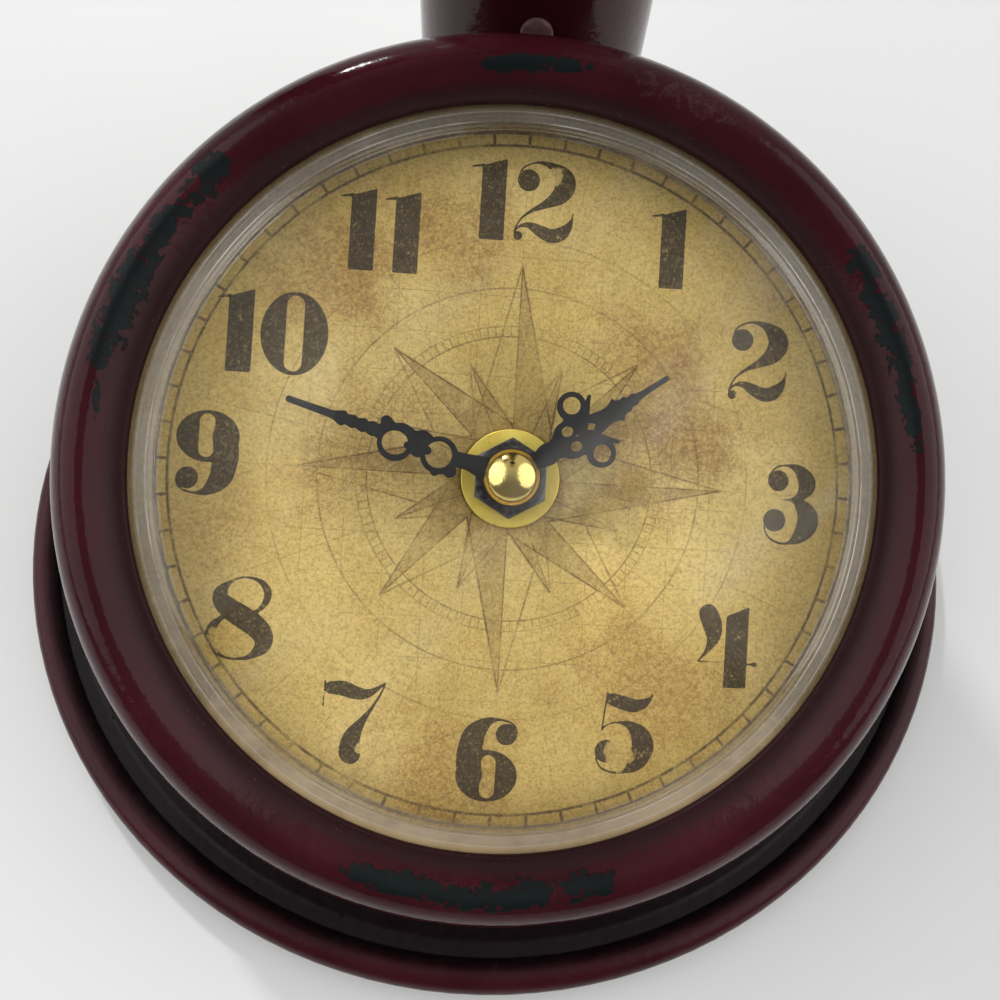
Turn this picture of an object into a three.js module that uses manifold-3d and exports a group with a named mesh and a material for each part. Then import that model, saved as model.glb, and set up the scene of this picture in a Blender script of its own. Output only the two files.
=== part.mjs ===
// Table clock in the shape of a candlestick telephone.
// Millimetres, +Z up, the dial faces -Y, origin on the table under the middle of the base.
import * as THREE from "three";
import { mergeVertices } from "three/addons/utils/BufferGeometryUtils.js";
import Module from "manifold-3d";

const wasm = await Module();
wasm.setup();

// Sides of round pieces
const LARGE = 48;
const ROUND = 28;
const SMALL = 12;

// Fits and stock
const GAP = 0.3; // between pieces that touch
const SHEET = 1.5; // spun and pressed steel

// Base
const BASE_RADIUS = 98; // outside of the rolled bead
const BEAD_RADIUS = 3;
const BEAD_HEIGHT = 6.5; // middle of the bead above the table
const BEAD_WRAP = 150; // degrees of the bead's section each way from its outermost point
const GROOVE_DEPTH = 1.6; // between the bead and the flat top
const GROOVE_WIDTH = 5;
const GROOVE_SLOPE = 1; // half the width of the step under the groove
const PLATE_INSET = 8; // bottom plate inside the edge of the base
const FELT_THICKNESS = 2.4;
const FELT_INSET = 1; // felt inside the edge of the bottom plate
const FELT_WIDTH = 14;
const SERVICE_BACK = 8.5; // service hole behind the middle of the clock
const SERVICE_RADIUS = 46;
const HATCH_OPENING_LENGTH = 66;
const HATCH_OPENING_WIDTH = 42;
const HATCH_MARGIN = 2.5; // hatch beyond its opening
const HATCH_THICKNESS = 1;
const RIVET_RADIUS = 1.6;
const RIVET_HEAD = 3.6;
const RIVET_HEAD_THICKNESS = 0.6;
const BALLAST_INSET = 12; // ballast inside the edge of the base
const BALLAST_WIDTH = 23;
const SCREW_RADIUS = 1.5;
const SCREW_HEAD = 3;
const SCREW_HEAD_THICKNESS = 1.2;
const BOTTOM_SCREW_INSET = 6; // from the inside of the ballast
const BOTTOM_SCREW_ANGLES = [120, 200, 290];

// Clock front, in its own inclined frame: Z along the dial's normal, Y towards twelve
const DIAL_TILT = 25; // from level
const CLOCK_HEIGHT = 55; // middle of the bezel opening above the table
const OPENING_RADIUS = 60;
const BEZEL_RADIUS = 74;
const BEZEL_SHEET = 1.2;
const LIP_WIDTH = 2.9;
const CREST_RADIUS = 66.5;
const CREST_HEIGHT = 2.6;
const ROLL_DEPTH = 10.6; // widest part of the bezel below its opening
const CURL_RADIUS = 2.5;
const CURL_DROP = 3.2;
const LENS_RADIUS = 68.3;
const LENS_THICKNESS = 1.6;
const LENS_DOME_RADIUS = 56;
const LENS_STEP = 0.6;
const LENS_RISE = 3.1;
const DIAL_RADIUS = 67;
const DIAL_THICKNESS = 0.8;
const DIAL_DEPTH = 11.5; // dial face below the bezel opening
const LEDGE_INNER = 62;
const RING_WALL = 1.3;
const RING_INSET = 4; // flange of the front ring inside the edge of the bezel
const CASE_RADIUS = 64;
const CASE_FLANGE = 7; // width of the flange at its foot
const BEZEL_CLEARANCE = 3.56; // between the bezel and the column

// Hands and what holds the movement to the dial
const BUSH_RADIUS = 4;
const BUSH_BORE = 2.75;
const BUSH_TOP = 0.5; // above the nut
const WASHER_RADIUS = 8.5;
const WASHER_THICKNESS = 0.8;
const NUT_FLATS = 12;
const NUT_THICKNESS = 2.4;
const SEAL_RADIUS = 10;
const SEAL_THICKNESS = 1;
const HAND_THICKNESS = 0.6;
const HAND_SPACE = 1.2; // between the two hands
const HAND_TIP = 0.6;
const HOUR_LENGTH = 31.6;
const MINUTE_LENGTH = 38.7;
const HOUR_ANGLE = 54; // clockwise from twelve
const MINUTE_ANGLE = 286;
const CAP_RADIUS = 4.6;
const CAP_HEIGHT = 3.3;
const CAP_RIM = 0.5;
const CAP_BORE_DEPTH = 1.1;

// Movement, with depths measured back from its front face
const MOVEMENT_SIZE = 56;
const MOVEMENT_CORNER = 4;
const MOVEMENT_WALL = 1.5;
const MOVEMENT_DEPTH = 14;
const COVER_THICKNESS = 1.5;
const PARTITION_Y = -10.9; // middle of the wall above the battery
const PARTITION = 1;
const PIN_RADIUS = 0.35;
const PINION_BORE = 0.6;
const MOTION_MODULE = 0.6;
const HOUR_MODULE = 0.48;
const TRAIN_MODULE = 0.45;
const MINUTE_PINION = 10; // teeth
const MOTION_TEETH = 30;
const MOTION_PINION = 10;
const HOUR_TEETH = 40;
const SET_TEETH = 15;
const CENTRE_TEETH = 45;
const THIRD_TEETH = 48;
const SECOND_TEETH = 30;
const STEP_TEETH = 36;
const TRAIN_PINION = 6;
const GRIP_RIBS = 20; // round the set knob
const WHEEL_THICKNESS = 1;
const TOOTH_TIP = 0.8; // beyond the pitch circle, in modules
const TOOTH_FOOT = 1.15; // within the pitch circle, in modules
const TOOTH_HALF = 0.34; // half width at the foot, in tooth spacings
const MINUTE_ARBOR = 1.25;
const HOUR_TUBE = 2.4;
const HOUR_BORE = 1.6;
const LAYER_HOUR = 1.9;
const LAYER_MOTION = 3.7;
const LAYER_CENTRE = 5.5;
const LAYER_THIRD = 7.3;
const LAYER_SECOND = 8.9;
const LAYER_STEP = 10.3;
const THIRD_DIRECTION = 70; // from the hub, degrees anticlockwise from three o'clock
const SECOND_DIRECTION = 5; // from the third wheel
const STEP_DIRECTION = -95; // from the second wheel
const ROTOR_DIRECTION = -65; // from the intermediate wheel
const ROTOR_RADIUS = 2.6;
const ROTOR_LENGTH = 1.1;
const STATOR_CLEARANCE = 0.5;
const STATOR_THICKNESS = 0.8;
const STATOR_REACH = 5.2; // around the rotor
const CORE_WIDTH = 2.4;
const CORE_END = -14;
const COIL_LENGTH = 16;
const COIL_WIDTH = 7.6;
const COIL_HEIGHT = 3.6;
const COIL_X = -3;
const BOARD_SIZE = [9.5, 17];
const BOARD_PLACE = [-20.2, 0.2];
const BOARD_THICKNESS = 0.9;
const SET_ARBOR = 1.5;
const SET_KNOB_RADIUS = 7;
const SET_KNOB_LENGTH = 4.2;
const BATTERY_RADIUS = 7;
const BATTERY_LENGTH = 49;
const BATTERY_NUB = 1;
const BATTERY_NUB_RADIUS = 2.6;
const CONTACT_THICKNESS = 0.5;
const CONTACT_WIDTH = 9;
const CONTACT_HEIGHT = 11;
const SPRING_RADIUS = 3;
const GRIP_DEPTH = 0.4; // of the ribs on the set knob

// Column
const COLUMN_RADIUS = 22.5;
const COLUMN_INSET = 0.1; // inside the edge of the base
const PLUG_THICKNESS = 4.2;
const ROD_RADIUS = 3;
const ROD_NUT_FLATS = 12;
const ROD_NUT_ROOM = 2; // for a spanner
const COLUMN_SCREW_HEIGHT = 77.7;
const COLUMN_SCREW_HEAD = 2.9;
const COLUMN_SCREW_DOME = 1.4;
const COLUMN_SCREW_LENGTH = 7;
const NUT_PLATE_WIDTH = 16;
const NUT_PLATE_HEIGHT = 12;
const NUT_PLATE_DEPTH = 5;
const BRACKET_WIDTH = 22;
const BRACKET_DEPTH = 3; // at least, between the case and the column
const BRACKET_LOW = 28;
const BRACKET_HIGH = 58;
const HEAD_FLANGE = 22.5;
const HEAD_FLANGE_THICKNESS = 4;
const HEAD_PLUG_LENGTH = 8;
const HEAD_SHOULDER = 5; // flat of the flange round its fillet
const HEAD_FILLET = 8;
const HEAD_HEIGHT = 32; // column top to pivot
const NECK_RADIUS = 8;
const PIVOT_HEIGHT = 262;
const TONGUE_THICKNESS = 8;
const TONGUE_RADIUS = 8;
const TONGUE_ROOT = 6.8; // half width where it leaves the neck
const TONGUE_SEAT = 1; // neck beyond the foot of the tongue
const PIVOT_RADIUS = 2.5;
const PIVOT_HEAD = 5;
const PIVOT_HEAD_THICKNESS = 3;
const PIVOT_HEAD_EDGE = 1;
const PIVOT_NUT_LENGTH = 4.4;

// Transmitter, measured forward and up from its pivot
const EAR_THICKNESS = 3;
const EAR_RADIUS = 7;
const EAR_SHOULDER = [-4.2, 5.6]; // where the ear leaves its round end
const BRIDGE_THICKNESS = 2.25;
const BRIDGE_BELOW = 15; // the cup's axis
const BRIDGE_ABOVE = 14;
const CUP_RISE = 20;
const CUP_BACK = 18;
const CUP_DEPTH = 26;
const CUP_RADIUS = 35;
const CUP_WALL = 2;
const CUP_ROUND = 5;
const FACE_THICKNESS = 2.5;
const FACE_EDGE = 2;
const FACE_HOLE = 9;
const HORN_LENGTH = 35;
const HORN_NECK = 13;
const HORN_MOUTH = 27;
const HORN_WALL = 2;

// Hook and receiver, on the left of the column
const RECEIVER_X = -66;
const RECEIVER_Y = 68;
const FORK_DROP = 25; // below the column top
const FORK_ROD = 2.5;
const FORK_RADIUS = 17; // receiver axis to the middle of a prong
const PRONG_LENGTH = 12; // beyond the receiver axis
const STEM_RADIUS = 4;
const STEM_DEPTH = 5; // into the column
const STEM_COLLAR = 7;
const STEM_TAPER = 2;
const COLLAR_WIDTH = 2;
const COLLAR_TAPER = 1;
const RECEIVER_NECK = 13;
const RECEIVER_BELL = 26;
const RECEIVER_LENGTH = 110; // below the fork
const BELL_HEIGHT = 18;
const BELL_SLOPE = 4; // rise of each half of the bell's underside
const BELL_EDGE = 2;
const BELL_LIFT = 0.5; // of its underside beyond the prongs
const TAIL_EDGE = 2;
const TAIL_TAPER = 4;
const SHELL_WALL = 3;
const EAR_CAP_RADIUS = 27.5;
const EAR_CAP_HEIGHT = 10;
const EAR_HOLE = 6;
const EAR_CAP_EDGE = 2;
const EAR_RIM = 6; // width of the rim round the dish
const EAR_DISH = 4;
const CORD_BUSH_RADIUS = 7;
const CORD_BUSH_PLUG = 4;
const CORD_BUSH_LENGTH = 4;
const CORD_BUSH_TAPER = 2;
const CORD_BUSH_DEPTH = 6; // into the receiver
const CORD_HOLE = 2;

// Worked out from the above
const TILT = THREE.MathUtils.degToRad(DIAL_TILT);
const BASE_TOP = BEAD_HEIGHT + BEAD_RADIUS;
const PAN_UNDERSIDE = BASE_TOP - SHEET;
const PLATE_BOTTOM = FELT_THICKNESS + GAP;
const PLATE_TOP = PLATE_BOTTOM + SHEET;
const HATCH_TOP = PLATE_BOTTOM - GAP;
const HATCH_BOTTOM = HATCH_TOP - HATCH_THICKNESS;
const RIVET_X = HATCH_OPENING_LENGTH / 2 + RIVET_HEAD;
const BALLAST_BOTTOM = PLATE_TOP + GAP;
const BALLAST_TOP = PAN_UNDERSIDE - GAP;
const PLATE_RADIUS = BASE_RADIUS - PLATE_INSET;
const FELT_OUTER = PLATE_RADIUS - FELT_INSET;
const BALLAST_OUTER = BASE_RADIUS - BALLAST_INSET;
const BALLAST_INNER = BALLAST_OUTER - BALLAST_WIDTH;
const BOTTOM_SCREW_CIRCLE = BALLAST_INNER + BOTTOM_SCREW_INSET;
const COLUMN_Y = BASE_RADIUS - COLUMN_RADIUS - COLUMN_INSET;
const COLUMN_TOP = PIVOT_HEIGHT - HEAD_HEIGHT;
const FORK_HEIGHT = COLUMN_TOP - FORK_DROP;
const COLUMN_FOOT = BASE_TOP + GAP;
const COLUMN_BORE = COLUMN_RADIUS - SHEET;
const LENS_TOP = -BEZEL_SHEET - GAP;
const LENS_UNDERSIDE = LENS_TOP - LENS_THICKNESS;
const DIAL_BACK = -DIAL_DEPTH - DIAL_THICKNESS;
const LEDGE_TOP = DIAL_BACK - GAP;
const RING_BOTTOM = LEDGE_TOP - SHEET;
const RING_FLANGE = BEZEL_RADIUS - RING_INSET;
const WASHER_BOTTOM = -DIAL_DEPTH + GAP;
const NUT_BOTTOM = WASHER_BOTTOM + WASHER_THICKNESS + GAP;
const NUT_TOP = NUT_BOTTOM + NUT_THICKNESS;
const BUSH_END = NUT_TOP + BUSH_TOP;
const HOUR_HAND = BUSH_END + BUSH_TOP;
const HOUR_TUBE_END = HOUR_HAND + HAND_THICKNESS;
const MINUTE_HAND = HOUR_TUBE_END + HAND_SPACE;
const CAP_BOTTOM = MINUTE_HAND + HAND_THICKNESS + GAP;
const ARBOR_END = CAP_BOTTOM + CAP_BORE_DEPTH - GAP;
const SEAL_TOP = DIAL_BACK - GAP;
const MOVEMENT_FRONT = SEAL_TOP - SEAL_THICKNESS - GAP;
const MOVEMENT_INNER = MOVEMENT_SIZE / 2 - MOVEMENT_WALL;
const COVER_FRONT = MOVEMENT_DEPTH + GAP;
const COVER_BACK = COVER_FRONT + COVER_THICKNESS;
const PIVOT_FREE = PIVOT_RADIUS + GAP;
const YOKE_INNER = TONGUE_THICKNESS / 2 + GAP;
const YOKE_OUTER = YOKE_INNER + EAR_THICKNESS;

// Finishes: colour, roughness, metalness
const PAINT = [0x4a1820, 0.3, 0.1];
const STEEL = [0x8c8c88, 0.45, 0.9];
const BRASS = [0xc8a040, 0.25, 0.95];
const BLACK = [0x151515, 0.4, 0.3];
const PARCHMENT = [0xc8af7d, 0.8, 0];
const CLEAR = [0xf2f2ee, 0.1, 0];
const IRON = [0x3a3836, 0.8, 0.5];
const FELT = [0x2a3a2c, 0.95, 0];
const RUBBER = [0x1c1c1c, 0.85, 0];
const GREY_PLASTIC = [0x2e2f31, 0.55, 0];
const WHITE_PLASTIC = [0xe4e0d4, 0.5, 0];
const COPPER = [0xb06a3a, 0.4, 0.8];
const GREEN_BOARD = [0x2b5a38, 0.5, 0];
const BATTERY_SLEEVE = [0x37424e, 0.4, 0.2];

const root = new THREE.Group();
root.name = "telephone_clock";
// A geometry with shared corners and no collapsed triangles.
function welded(geometry) {
  const bare = geometry.clone();
  bare.deleteAttribute("normal");
  bare.deleteAttribute("uv");
  const merged = mergeVertices(bare, 1e-4);
  const kept = [];
  const index = merged.index.array;
  for (let i = 0; i < index.length; i += 3) {
    const [a, b, c] = [index[i], index[i + 1], index[i + 2]];
    if (a !== b && b !== c && a !== c) kept.push(a, b, c);
  }
  merged.setIndex(kept);
  return merged;
}

function solid(geometry) {
  const merged = welded(geometry);
  return new wasm.Manifold(
    new wasm.Mesh({
      numProp: 3,
      vertProperties: new Float32Array(merged.attributes.position.array),
      triVerts: new Uint32Array(merged.index.array),
    }),
  );
}

function geometryOf(body) {
  const mesh = body.getMesh();
  return new THREE.BufferGeometry()
    .setAttribute("position", new THREE.BufferAttribute(mesh.vertProperties, 3))
    .setIndex(new THREE.BufferAttribute(mesh.triVerts, 1));
}

function joined(...pieces) {
  const bodies = pieces.map(solid);
  return geometryOf(bodies.slice(1).reduce((a, b) => a.add(b), bodies[0]));
}

function cut(piece, ...tools) {
  const bodies = tools.map(solid);
  return geometryOf(bodies.reduce((a, b) => a.subtract(b), solid(piece)));
}

function common(a, b) {
  return geometryOf(solid(a).intersect(solid(b)));
}

// Points of an ellipse's arc in a profile, angles in degrees.
function arc(r, z, width, height, from, to, steps) {
  return Array.from({ length: steps + 1 }, (_, i) => {
    const a = THREE.MathUtils.degToRad(from + ((to - from) * i) / steps);
    return [r + width * Math.cos(a), z + height * Math.sin(a)];
  });
}

// A profile of [radius, height] points turned round Z. It closes itself, on the axis where it ends there.
function turned(profile, segments = ROUND) {
  const points = profile.map(([r, z]) => new THREE.Vector2(r, z));
  if (THREE.ShapeUtils.area(points) < 0) points.reverse();
  const first = points[0];
  const last = points[points.length - 1];
  if (first.x > 0 || last.x > 0) points.push(first.clone());
  return new THREE.LatheGeometry(points, segments).rotateX(Math.PI / 2);
}

// A tube or, with no bore, a disc between two heights.
function tube(radius, bore, low, high, segments = ROUND) {
  return turned(
    [
      [bore, low],
      [radius, low],
      [radius, high],
      [bore, high],
    ],
    segments,
  );
}

function circle(radius, x = 0, y = 0) {
  return new THREE.Shape().absarc(x, y, radius, 0, Math.PI * 2);
}

function hole(radius, x = 0, y = 0) {
  return new THREE.Path().absarc(x, y, radius, 0, Math.PI * 2, true);
}

function polygon(points) {
  return new THREE.Shape(points.map(([x, y]) => new THREE.Vector2(x, y)));
}

function rectangle(left, bottom, right, top) {
  return polygon([
    [left, bottom],
    [right, bottom],
    [right, top],
    [left, top],
  ]);
}

function rounded(width, height, radius) {
  const x = width / 2 - radius;
  const y = height / 2 - radius;
  return new THREE.Shape()
    .absarc(x, y, radius, 0, Math.PI / 2)
    .absarc(-x, y, radius, Math.PI / 2, Math.PI)
    .absarc(-x, -y, radius, Math.PI, Math.PI * 1.5)
    .absarc(x, -y, radius, Math.PI * 1.5, Math.PI * 2);
}

function hexagon(flats, bore) {
  const corner = flats / Math.sqrt(3);
  const shape = polygon(
    Array.from({ length: 6 }, (_, i) => [
      corner * Math.cos((i * Math.PI) / 3),
      corner * Math.sin((i * Math.PI) / 3),
    ]),
  );
  shape.holes.push(hole(bore));
  return shape;
}

// A flat shape given thickness between two heights.
function plate(shape, low, high, curveSegments = 8) {
  return new THREE.ExtrudeGeometry(shape, {
    depth: high - low,
    bevelEnabled: false,
    curveSegments,
  }).translate(0, 0, low);
}

function block(left, front, low, right, back, high) {
  return plate(rectangle(left, front, right, back), low, high);
}

function add(name, geometry, [color, roughness, metalness], parent = root) {
  const material = new THREE.MeshStandardMaterial({ color, roughness, metalness });
  const mesh = new THREE.Mesh(welded(geometry), material);
  mesh.geometry.computeVertexNormals();
  mesh.name = name;
  parent.add(mesh);
  return mesh;
}

// Place of the clock: its bezel, or its case with the bracket, stands just in front of the column.

const rollWidth = BEZEL_RADIUS - CREST_RADIUS;
const rollHeight = CREST_HEIGHT + ROLL_DEPTH;
const innerWidth = CREST_RADIUS - OPENING_RADIUS - LIP_WIDTH;
const curlMiddle = BEZEL_RADIUS - CURL_RADIUS;
const bezelOutside = [
  ...arc(curlMiddle, -ROLL_DEPTH, CURL_RADIUS, CURL_DROP, -90, 0, 2),
  ...arc(CREST_RADIUS, -ROLL_DEPTH, rollWidth, rollHeight, 0, 90, 6).slice(1),
  ...arc(CREST_RADIUS, 0, innerWidth, CREST_HEIGHT, 90, 180, 3).slice(1),
  [OPENING_RADIUS, 0],
];
const bezelReach = Math.max(...bezelOutside.map(([r, z]) => r * Math.cos(TILT) - z * Math.sin(TILT)));
const caseOffset = -RING_BOTTOM * Math.sin(TILT);
const clockReach = Math.max(bezelReach + BEZEL_CLEARANCE, caseOffset + CASE_RADIUS + BRACKET_DEPTH);
const clockY = COLUMN_Y - COLUMN_RADIUS - clockReach;
const serviceY = clockY + SERVICE_BACK;
const clock = new THREE.Group();
clock.position.set(0, clockY, CLOCK_HEIGHT);
clock.rotation.x = TILT;
root.add(clock);
clock.updateMatrixWorld(true);

// Base

const beadMiddle = BASE_RADIUS - BEAD_RADIUS;
const grooveOuter = beadMiddle + BEAD_RADIUS * Math.cos(THREE.MathUtils.degToRad(BEAD_WRAP));
const grooveInner = grooveOuter - GROOVE_WIDTH;
const panBlank = turned(
  [
    [0, PAN_UNDERSIDE],
    [grooveInner - GROOVE_SLOPE, PAN_UNDERSIDE],
    [grooveInner + GROOVE_SLOPE, PAN_UNDERSIDE - GROOVE_DEPTH],
    ...arc(beadMiddle, BEAD_HEIGHT, BEAD_RADIUS, BEAD_RADIUS, -BEAD_WRAP, BEAD_WRAP, 10),
    [(grooveInner + grooveOuter) / 2, BASE_TOP - GROOVE_DEPTH],
    [grooveInner, BASE_TOP],
    [0, BASE_TOP],
  ],
  LARGE,
);
const panHoles = [
  tube(SERVICE_RADIUS, 0, 0, BASE_TOP * 2, ROUND).translate(0, serviceY, 0),
  tube(ROD_RADIUS + GAP, 0, 0, BASE_TOP * 2, SMALL).translate(0, COLUMN_Y, 0),
];
add("base_pan", cut(panBlank, ...panHoles), PAINT);

const bottomScrewPlaces = BOTTOM_SCREW_ANGLES.map((degrees) => {
  const a = THREE.MathUtils.degToRad(degrees);
  return [BOTTOM_SCREW_CIRCLE * Math.cos(a), BOTTOM_SCREW_CIRCLE * Math.sin(a)];
});
const bottomScrewHoles = bottomScrewPlaces.map(([x, y]) =>
  tube(SCREW_RADIUS + GAP, 0, 0, BASE_TOP, SMALL).translate(x, y, 0),
);
const rodNutCorner = ROD_NUT_FLATS / Math.sqrt(3);
const rodNutRoom = tube(rodNutCorner + ROD_NUT_ROOM, 0, 0, BASE_TOP, SMALL).translate(0, COLUMN_Y, 0);
const ballastBlank = tube(BALLAST_OUTER, BALLAST_INNER, BALLAST_BOTTOM, BALLAST_TOP, LARGE);
add("ballast_ring", cut(ballastBlank, rodNutRoom, ...bottomScrewHoles), IRON);

// The opening and the hatch have the same rounded-end outline.
function slotOutline(length, width) {
  const x = (length - width) / 2;
  return new THREE.Shape()
    .absarc(x, 0, width / 2, -Math.PI / 2, Math.PI / 2)
    .absarc(-x, 0, width / 2, Math.PI / 2, Math.PI * 1.5);
}

const plateShape = circle(PLATE_RADIUS);
const openingTool = plate(slotOutline(HATCH_OPENING_LENGTH, HATCH_OPENING_WIDTH), 0, BASE_TOP, 6);
openingTool.translate(0, serviceY, 0);
const rivetHole = tube(RIVET_RADIUS + GAP, 0, 0, BASE_TOP, SMALL).translate(RIVET_X, serviceY, 0);
add(
  "bottom_plate",
  cut(plate(plateShape, PLATE_BOTTOM, PLATE_TOP, 14), openingTool, rivetHole, ...bottomScrewHoles),
  STEEL,
);
add("felt_ring", tube(FELT_OUTER, FELT_OUTER - FELT_WIDTH, 0, FELT_THICKNESS, LARGE), FELT);

const hatchEnd = RIVET_X + RIVET_HEAD + HATCH_MARGIN / 2;
const hatchStart = -HATCH_OPENING_LENGTH / 2 - HATCH_MARGIN;
const hatchShape = slotOutline(hatchEnd - hatchStart, HATCH_OPENING_WIDTH + 2 * HATCH_MARGIN);
const hatchBlank = plate(hatchShape, HATCH_BOTTOM, HATCH_TOP, 6);
hatchBlank.translate((hatchStart + hatchEnd) / 2, serviceY, 0);
add("battery_hatch", cut(hatchBlank, rivetHole), STEEL);
add(
  "hatch_rivet",
  turned(
    [
      [0, HATCH_BOTTOM - GAP - RIVET_HEAD_THICKNESS],
      [RIVET_HEAD, HATCH_BOTTOM - GAP - RIVET_HEAD_THICKNESS],
      [RIVET_HEAD, HATCH_BOTTOM - GAP],
      [RIVET_RADIUS, HATCH_BOTTOM - GAP],
      [RIVET_RADIUS, PLATE_TOP + GAP],
      [RIVET_HEAD, PLATE_TOP + GAP],
      [RIVET_HEAD, PLATE_TOP + GAP + RIVET_HEAD_THICKNESS],
      [0, PLATE_TOP + GAP + RIVET_HEAD_THICKNESS],
    ],
    SMALL,
  ).translate(RIVET_X, serviceY, 0),
  STEEL,
);
bottomScrewPlaces.forEach(([x, y], i) => {
  const screw = turned(
    [
      [0, HATCH_TOP - SCREW_HEAD_THICKNESS],
      [SCREW_HEAD, HATCH_TOP - SCREW_HEAD_THICKNESS],
      [SCREW_HEAD, HATCH_TOP],
      [SCREW_RADIUS, HATCH_TOP],
      [SCREW_RADIUS, BALLAST_TOP - GAP],
      [0, BALLAST_TOP - GAP],
    ],
    SMALL,
  );
  add(`bottom_screw_${i + 1}`, screw.translate(x, y, 0), STEEL);
});

// Case wall: upright, its top cut along the dial's incline

const caseY = clockY + caseOffset;
const caseHeight = CLOCK_HEIGHT + CASE_RADIUS;
const caseFlangeInner = CASE_RADIUS - CASE_FLANGE;
const wallBlank = turned(
  [
    [caseFlangeInner, BASE_TOP + GAP],
    [CASE_RADIUS, BASE_TOP + GAP],
    [CASE_RADIUS, caseHeight],
    [CASE_RADIUS - SHEET, caseHeight],
    [CASE_RADIUS - SHEET, BASE_TOP + GAP + SHEET],
    [caseFlangeInner, BASE_TOP + GAP + SHEET],
  ],
  LARGE,
).translate(0, caseY, 0);
const beyond = 2 * caseHeight;
const aboveIncline = block(-beyond, -beyond, RING_BOTTOM - GAP, beyond, beyond, beyond);
aboveIncline.applyMatrix4(clock.matrixWorld);
add("case_wall", cut(wallBlank, aboveIncline), PAINT);

// Front ring, bezel, lens and dial

const ringBore = DIAL_RADIUS + GAP;
const ringOuter = ringBore + RING_WALL;
add(
  "front_ring",
  turned(
    [
      [LEDGE_INNER, RING_BOTTOM],
      [RING_FLANGE, RING_BOTTOM],
      [RING_FLANGE, LEDGE_TOP],
      [ringOuter, LEDGE_TOP],
      [ringOuter, LENS_UNDERSIDE - GAP],
      [ringBore, LENS_UNDERSIDE - GAP],
      [ringBore, LEDGE_TOP],
      [LEDGE_INNER, LEDGE_TOP],
    ],
    LARGE,
  ),
  STEEL,
  clock,
);

const bezelInside = [
  [OPENING_RADIUS, -BEZEL_SHEET],
  ...arc(CREST_RADIUS, -BEZEL_SHEET, innerWidth, CREST_HEIGHT, 180, 90, 2),
  ...arc(CREST_RADIUS, -ROLL_DEPTH, rollWidth - BEZEL_SHEET, rollHeight - BEZEL_SHEET, 90, 0, 4).slice(1),
  [curlMiddle, -ROLL_DEPTH - CURL_DROP + BEZEL_SHEET],
];
add("bezel", turned([...bezelOutside, ...bezelInside], LARGE), PAINT, clock);

// A shallow dome from the step to the middle.
function domeOf(height, radius) {
  return Array.from({ length: 5 }, (_, i) => {
    const r = radius * (1 - i / 4);
    return [r, height + LENS_RISE * (1 - (r / radius) ** 2)];
  });
}
add(
  "lens",
  turned(
    [
      [LENS_RADIUS, LENS_UNDERSIDE],
      [LENS_RADIUS, LENS_TOP],
      [LENS_DOME_RADIUS + LENS_STEP, LENS_TOP],
      ...domeOf(LENS_TOP + LENS_STEP, LENS_DOME_RADIUS),
      ...domeOf(LENS_UNDERSIDE + LENS_STEP, LENS_DOME_RADIUS).reverse(),
      [LENS_DOME_RADIUS + LENS_STEP, LENS_UNDERSIDE],
    ],
    LARGE,
  ),
  CLEAR,
  clock,
);
add("dial_plate", tube(DIAL_RADIUS, BUSH_RADIUS + GAP, DIAL_BACK, -DIAL_DEPTH, LARGE), PARCHMENT, clock);

// Fastening of the movement

const bushFree = BUSH_RADIUS + GAP;
add(
  "brass_washer",
  tube(WASHER_RADIUS, bushFree, WASHER_BOTTOM, WASHER_BOTTOM + WASHER_THICKNESS),
  BRASS,
  clock,
);
add("hex_nut", plate(hexagon(NUT_FLATS, bushFree), NUT_BOTTOM, NUT_TOP, 6), STEEL, clock);
add("rubber_washer", tube(SEAL_RADIUS, bushFree, SEAL_TOP - SEAL_THICKNESS, SEAL_TOP, SMALL), RUBBER, clock);

// Hands: each lies along +Y from the hub and is made of discs and tapered bars, then pierced.

function disc(along, across, radius, segments = 4) {
  return plate(circle(radius, -across, along), 0, HAND_THICKNESS, segments);
}

function bar(from, to, startHalf, endHalf) {
  const shape = polygon([
    [-startHalf, from],
    [startHalf, from],
    [endHalf, to],
    [-endHalf, to],
  ]);
  return plate(shape, 0, HAND_THICKNESS);
}

function handOf(pieces, piercings, bore, height, angle) {
  const flat = cut(joined(...pieces), ...piercings, disc(0, 0, bore, 8));
  return flat.rotateZ(-THREE.MathUtils.degToRad(angle)).translate(0, 0, height);
}

const hourPieces = [
  disc(0, 0, 4.2, 8),
  bar(0, 7.5, 1.9, 1.5),
  disc(6.3, 0, 2.1),
  disc(9.6, 0, 2.6),
  disc(12.2, 1.5, 2.5),
  disc(12.2, -1.5, 2.5),
  disc(15, 4.6, 2.6, 5),
  disc(15, -4.6, 2.6, 5),
  bar(12, 21.5, 2.3, 0.9),
  disc(18.1, 4.4, 0.8),
  disc(18.1, -4.4, 0.8),
  disc(21.2, 0, 1.9),
  disc(23.2, 0, 1.5),
  disc(25, 0, 1.1),
  bar(20, HOUR_LENGTH - HAND_TIP, 1.5, HAND_TIP),
  disc(HOUR_LENGTH - HAND_TIP, 0, HAND_TIP),
];
const hourPiercings = [
  disc(11.8, 1.45, 0.95),
  disc(11.8, -1.45, 0.95),
  disc(15, 4.7, 1.4),
  disc(15, -4.7, 1.4),
  disc(16, 0, 0.85, 1),
];
add(
  "hour_hand",
  handOf(hourPieces, hourPiercings, HOUR_TUBE + GAP, HOUR_HAND, HOUR_ANGLE),
  BLACK,
  clock,
);

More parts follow.
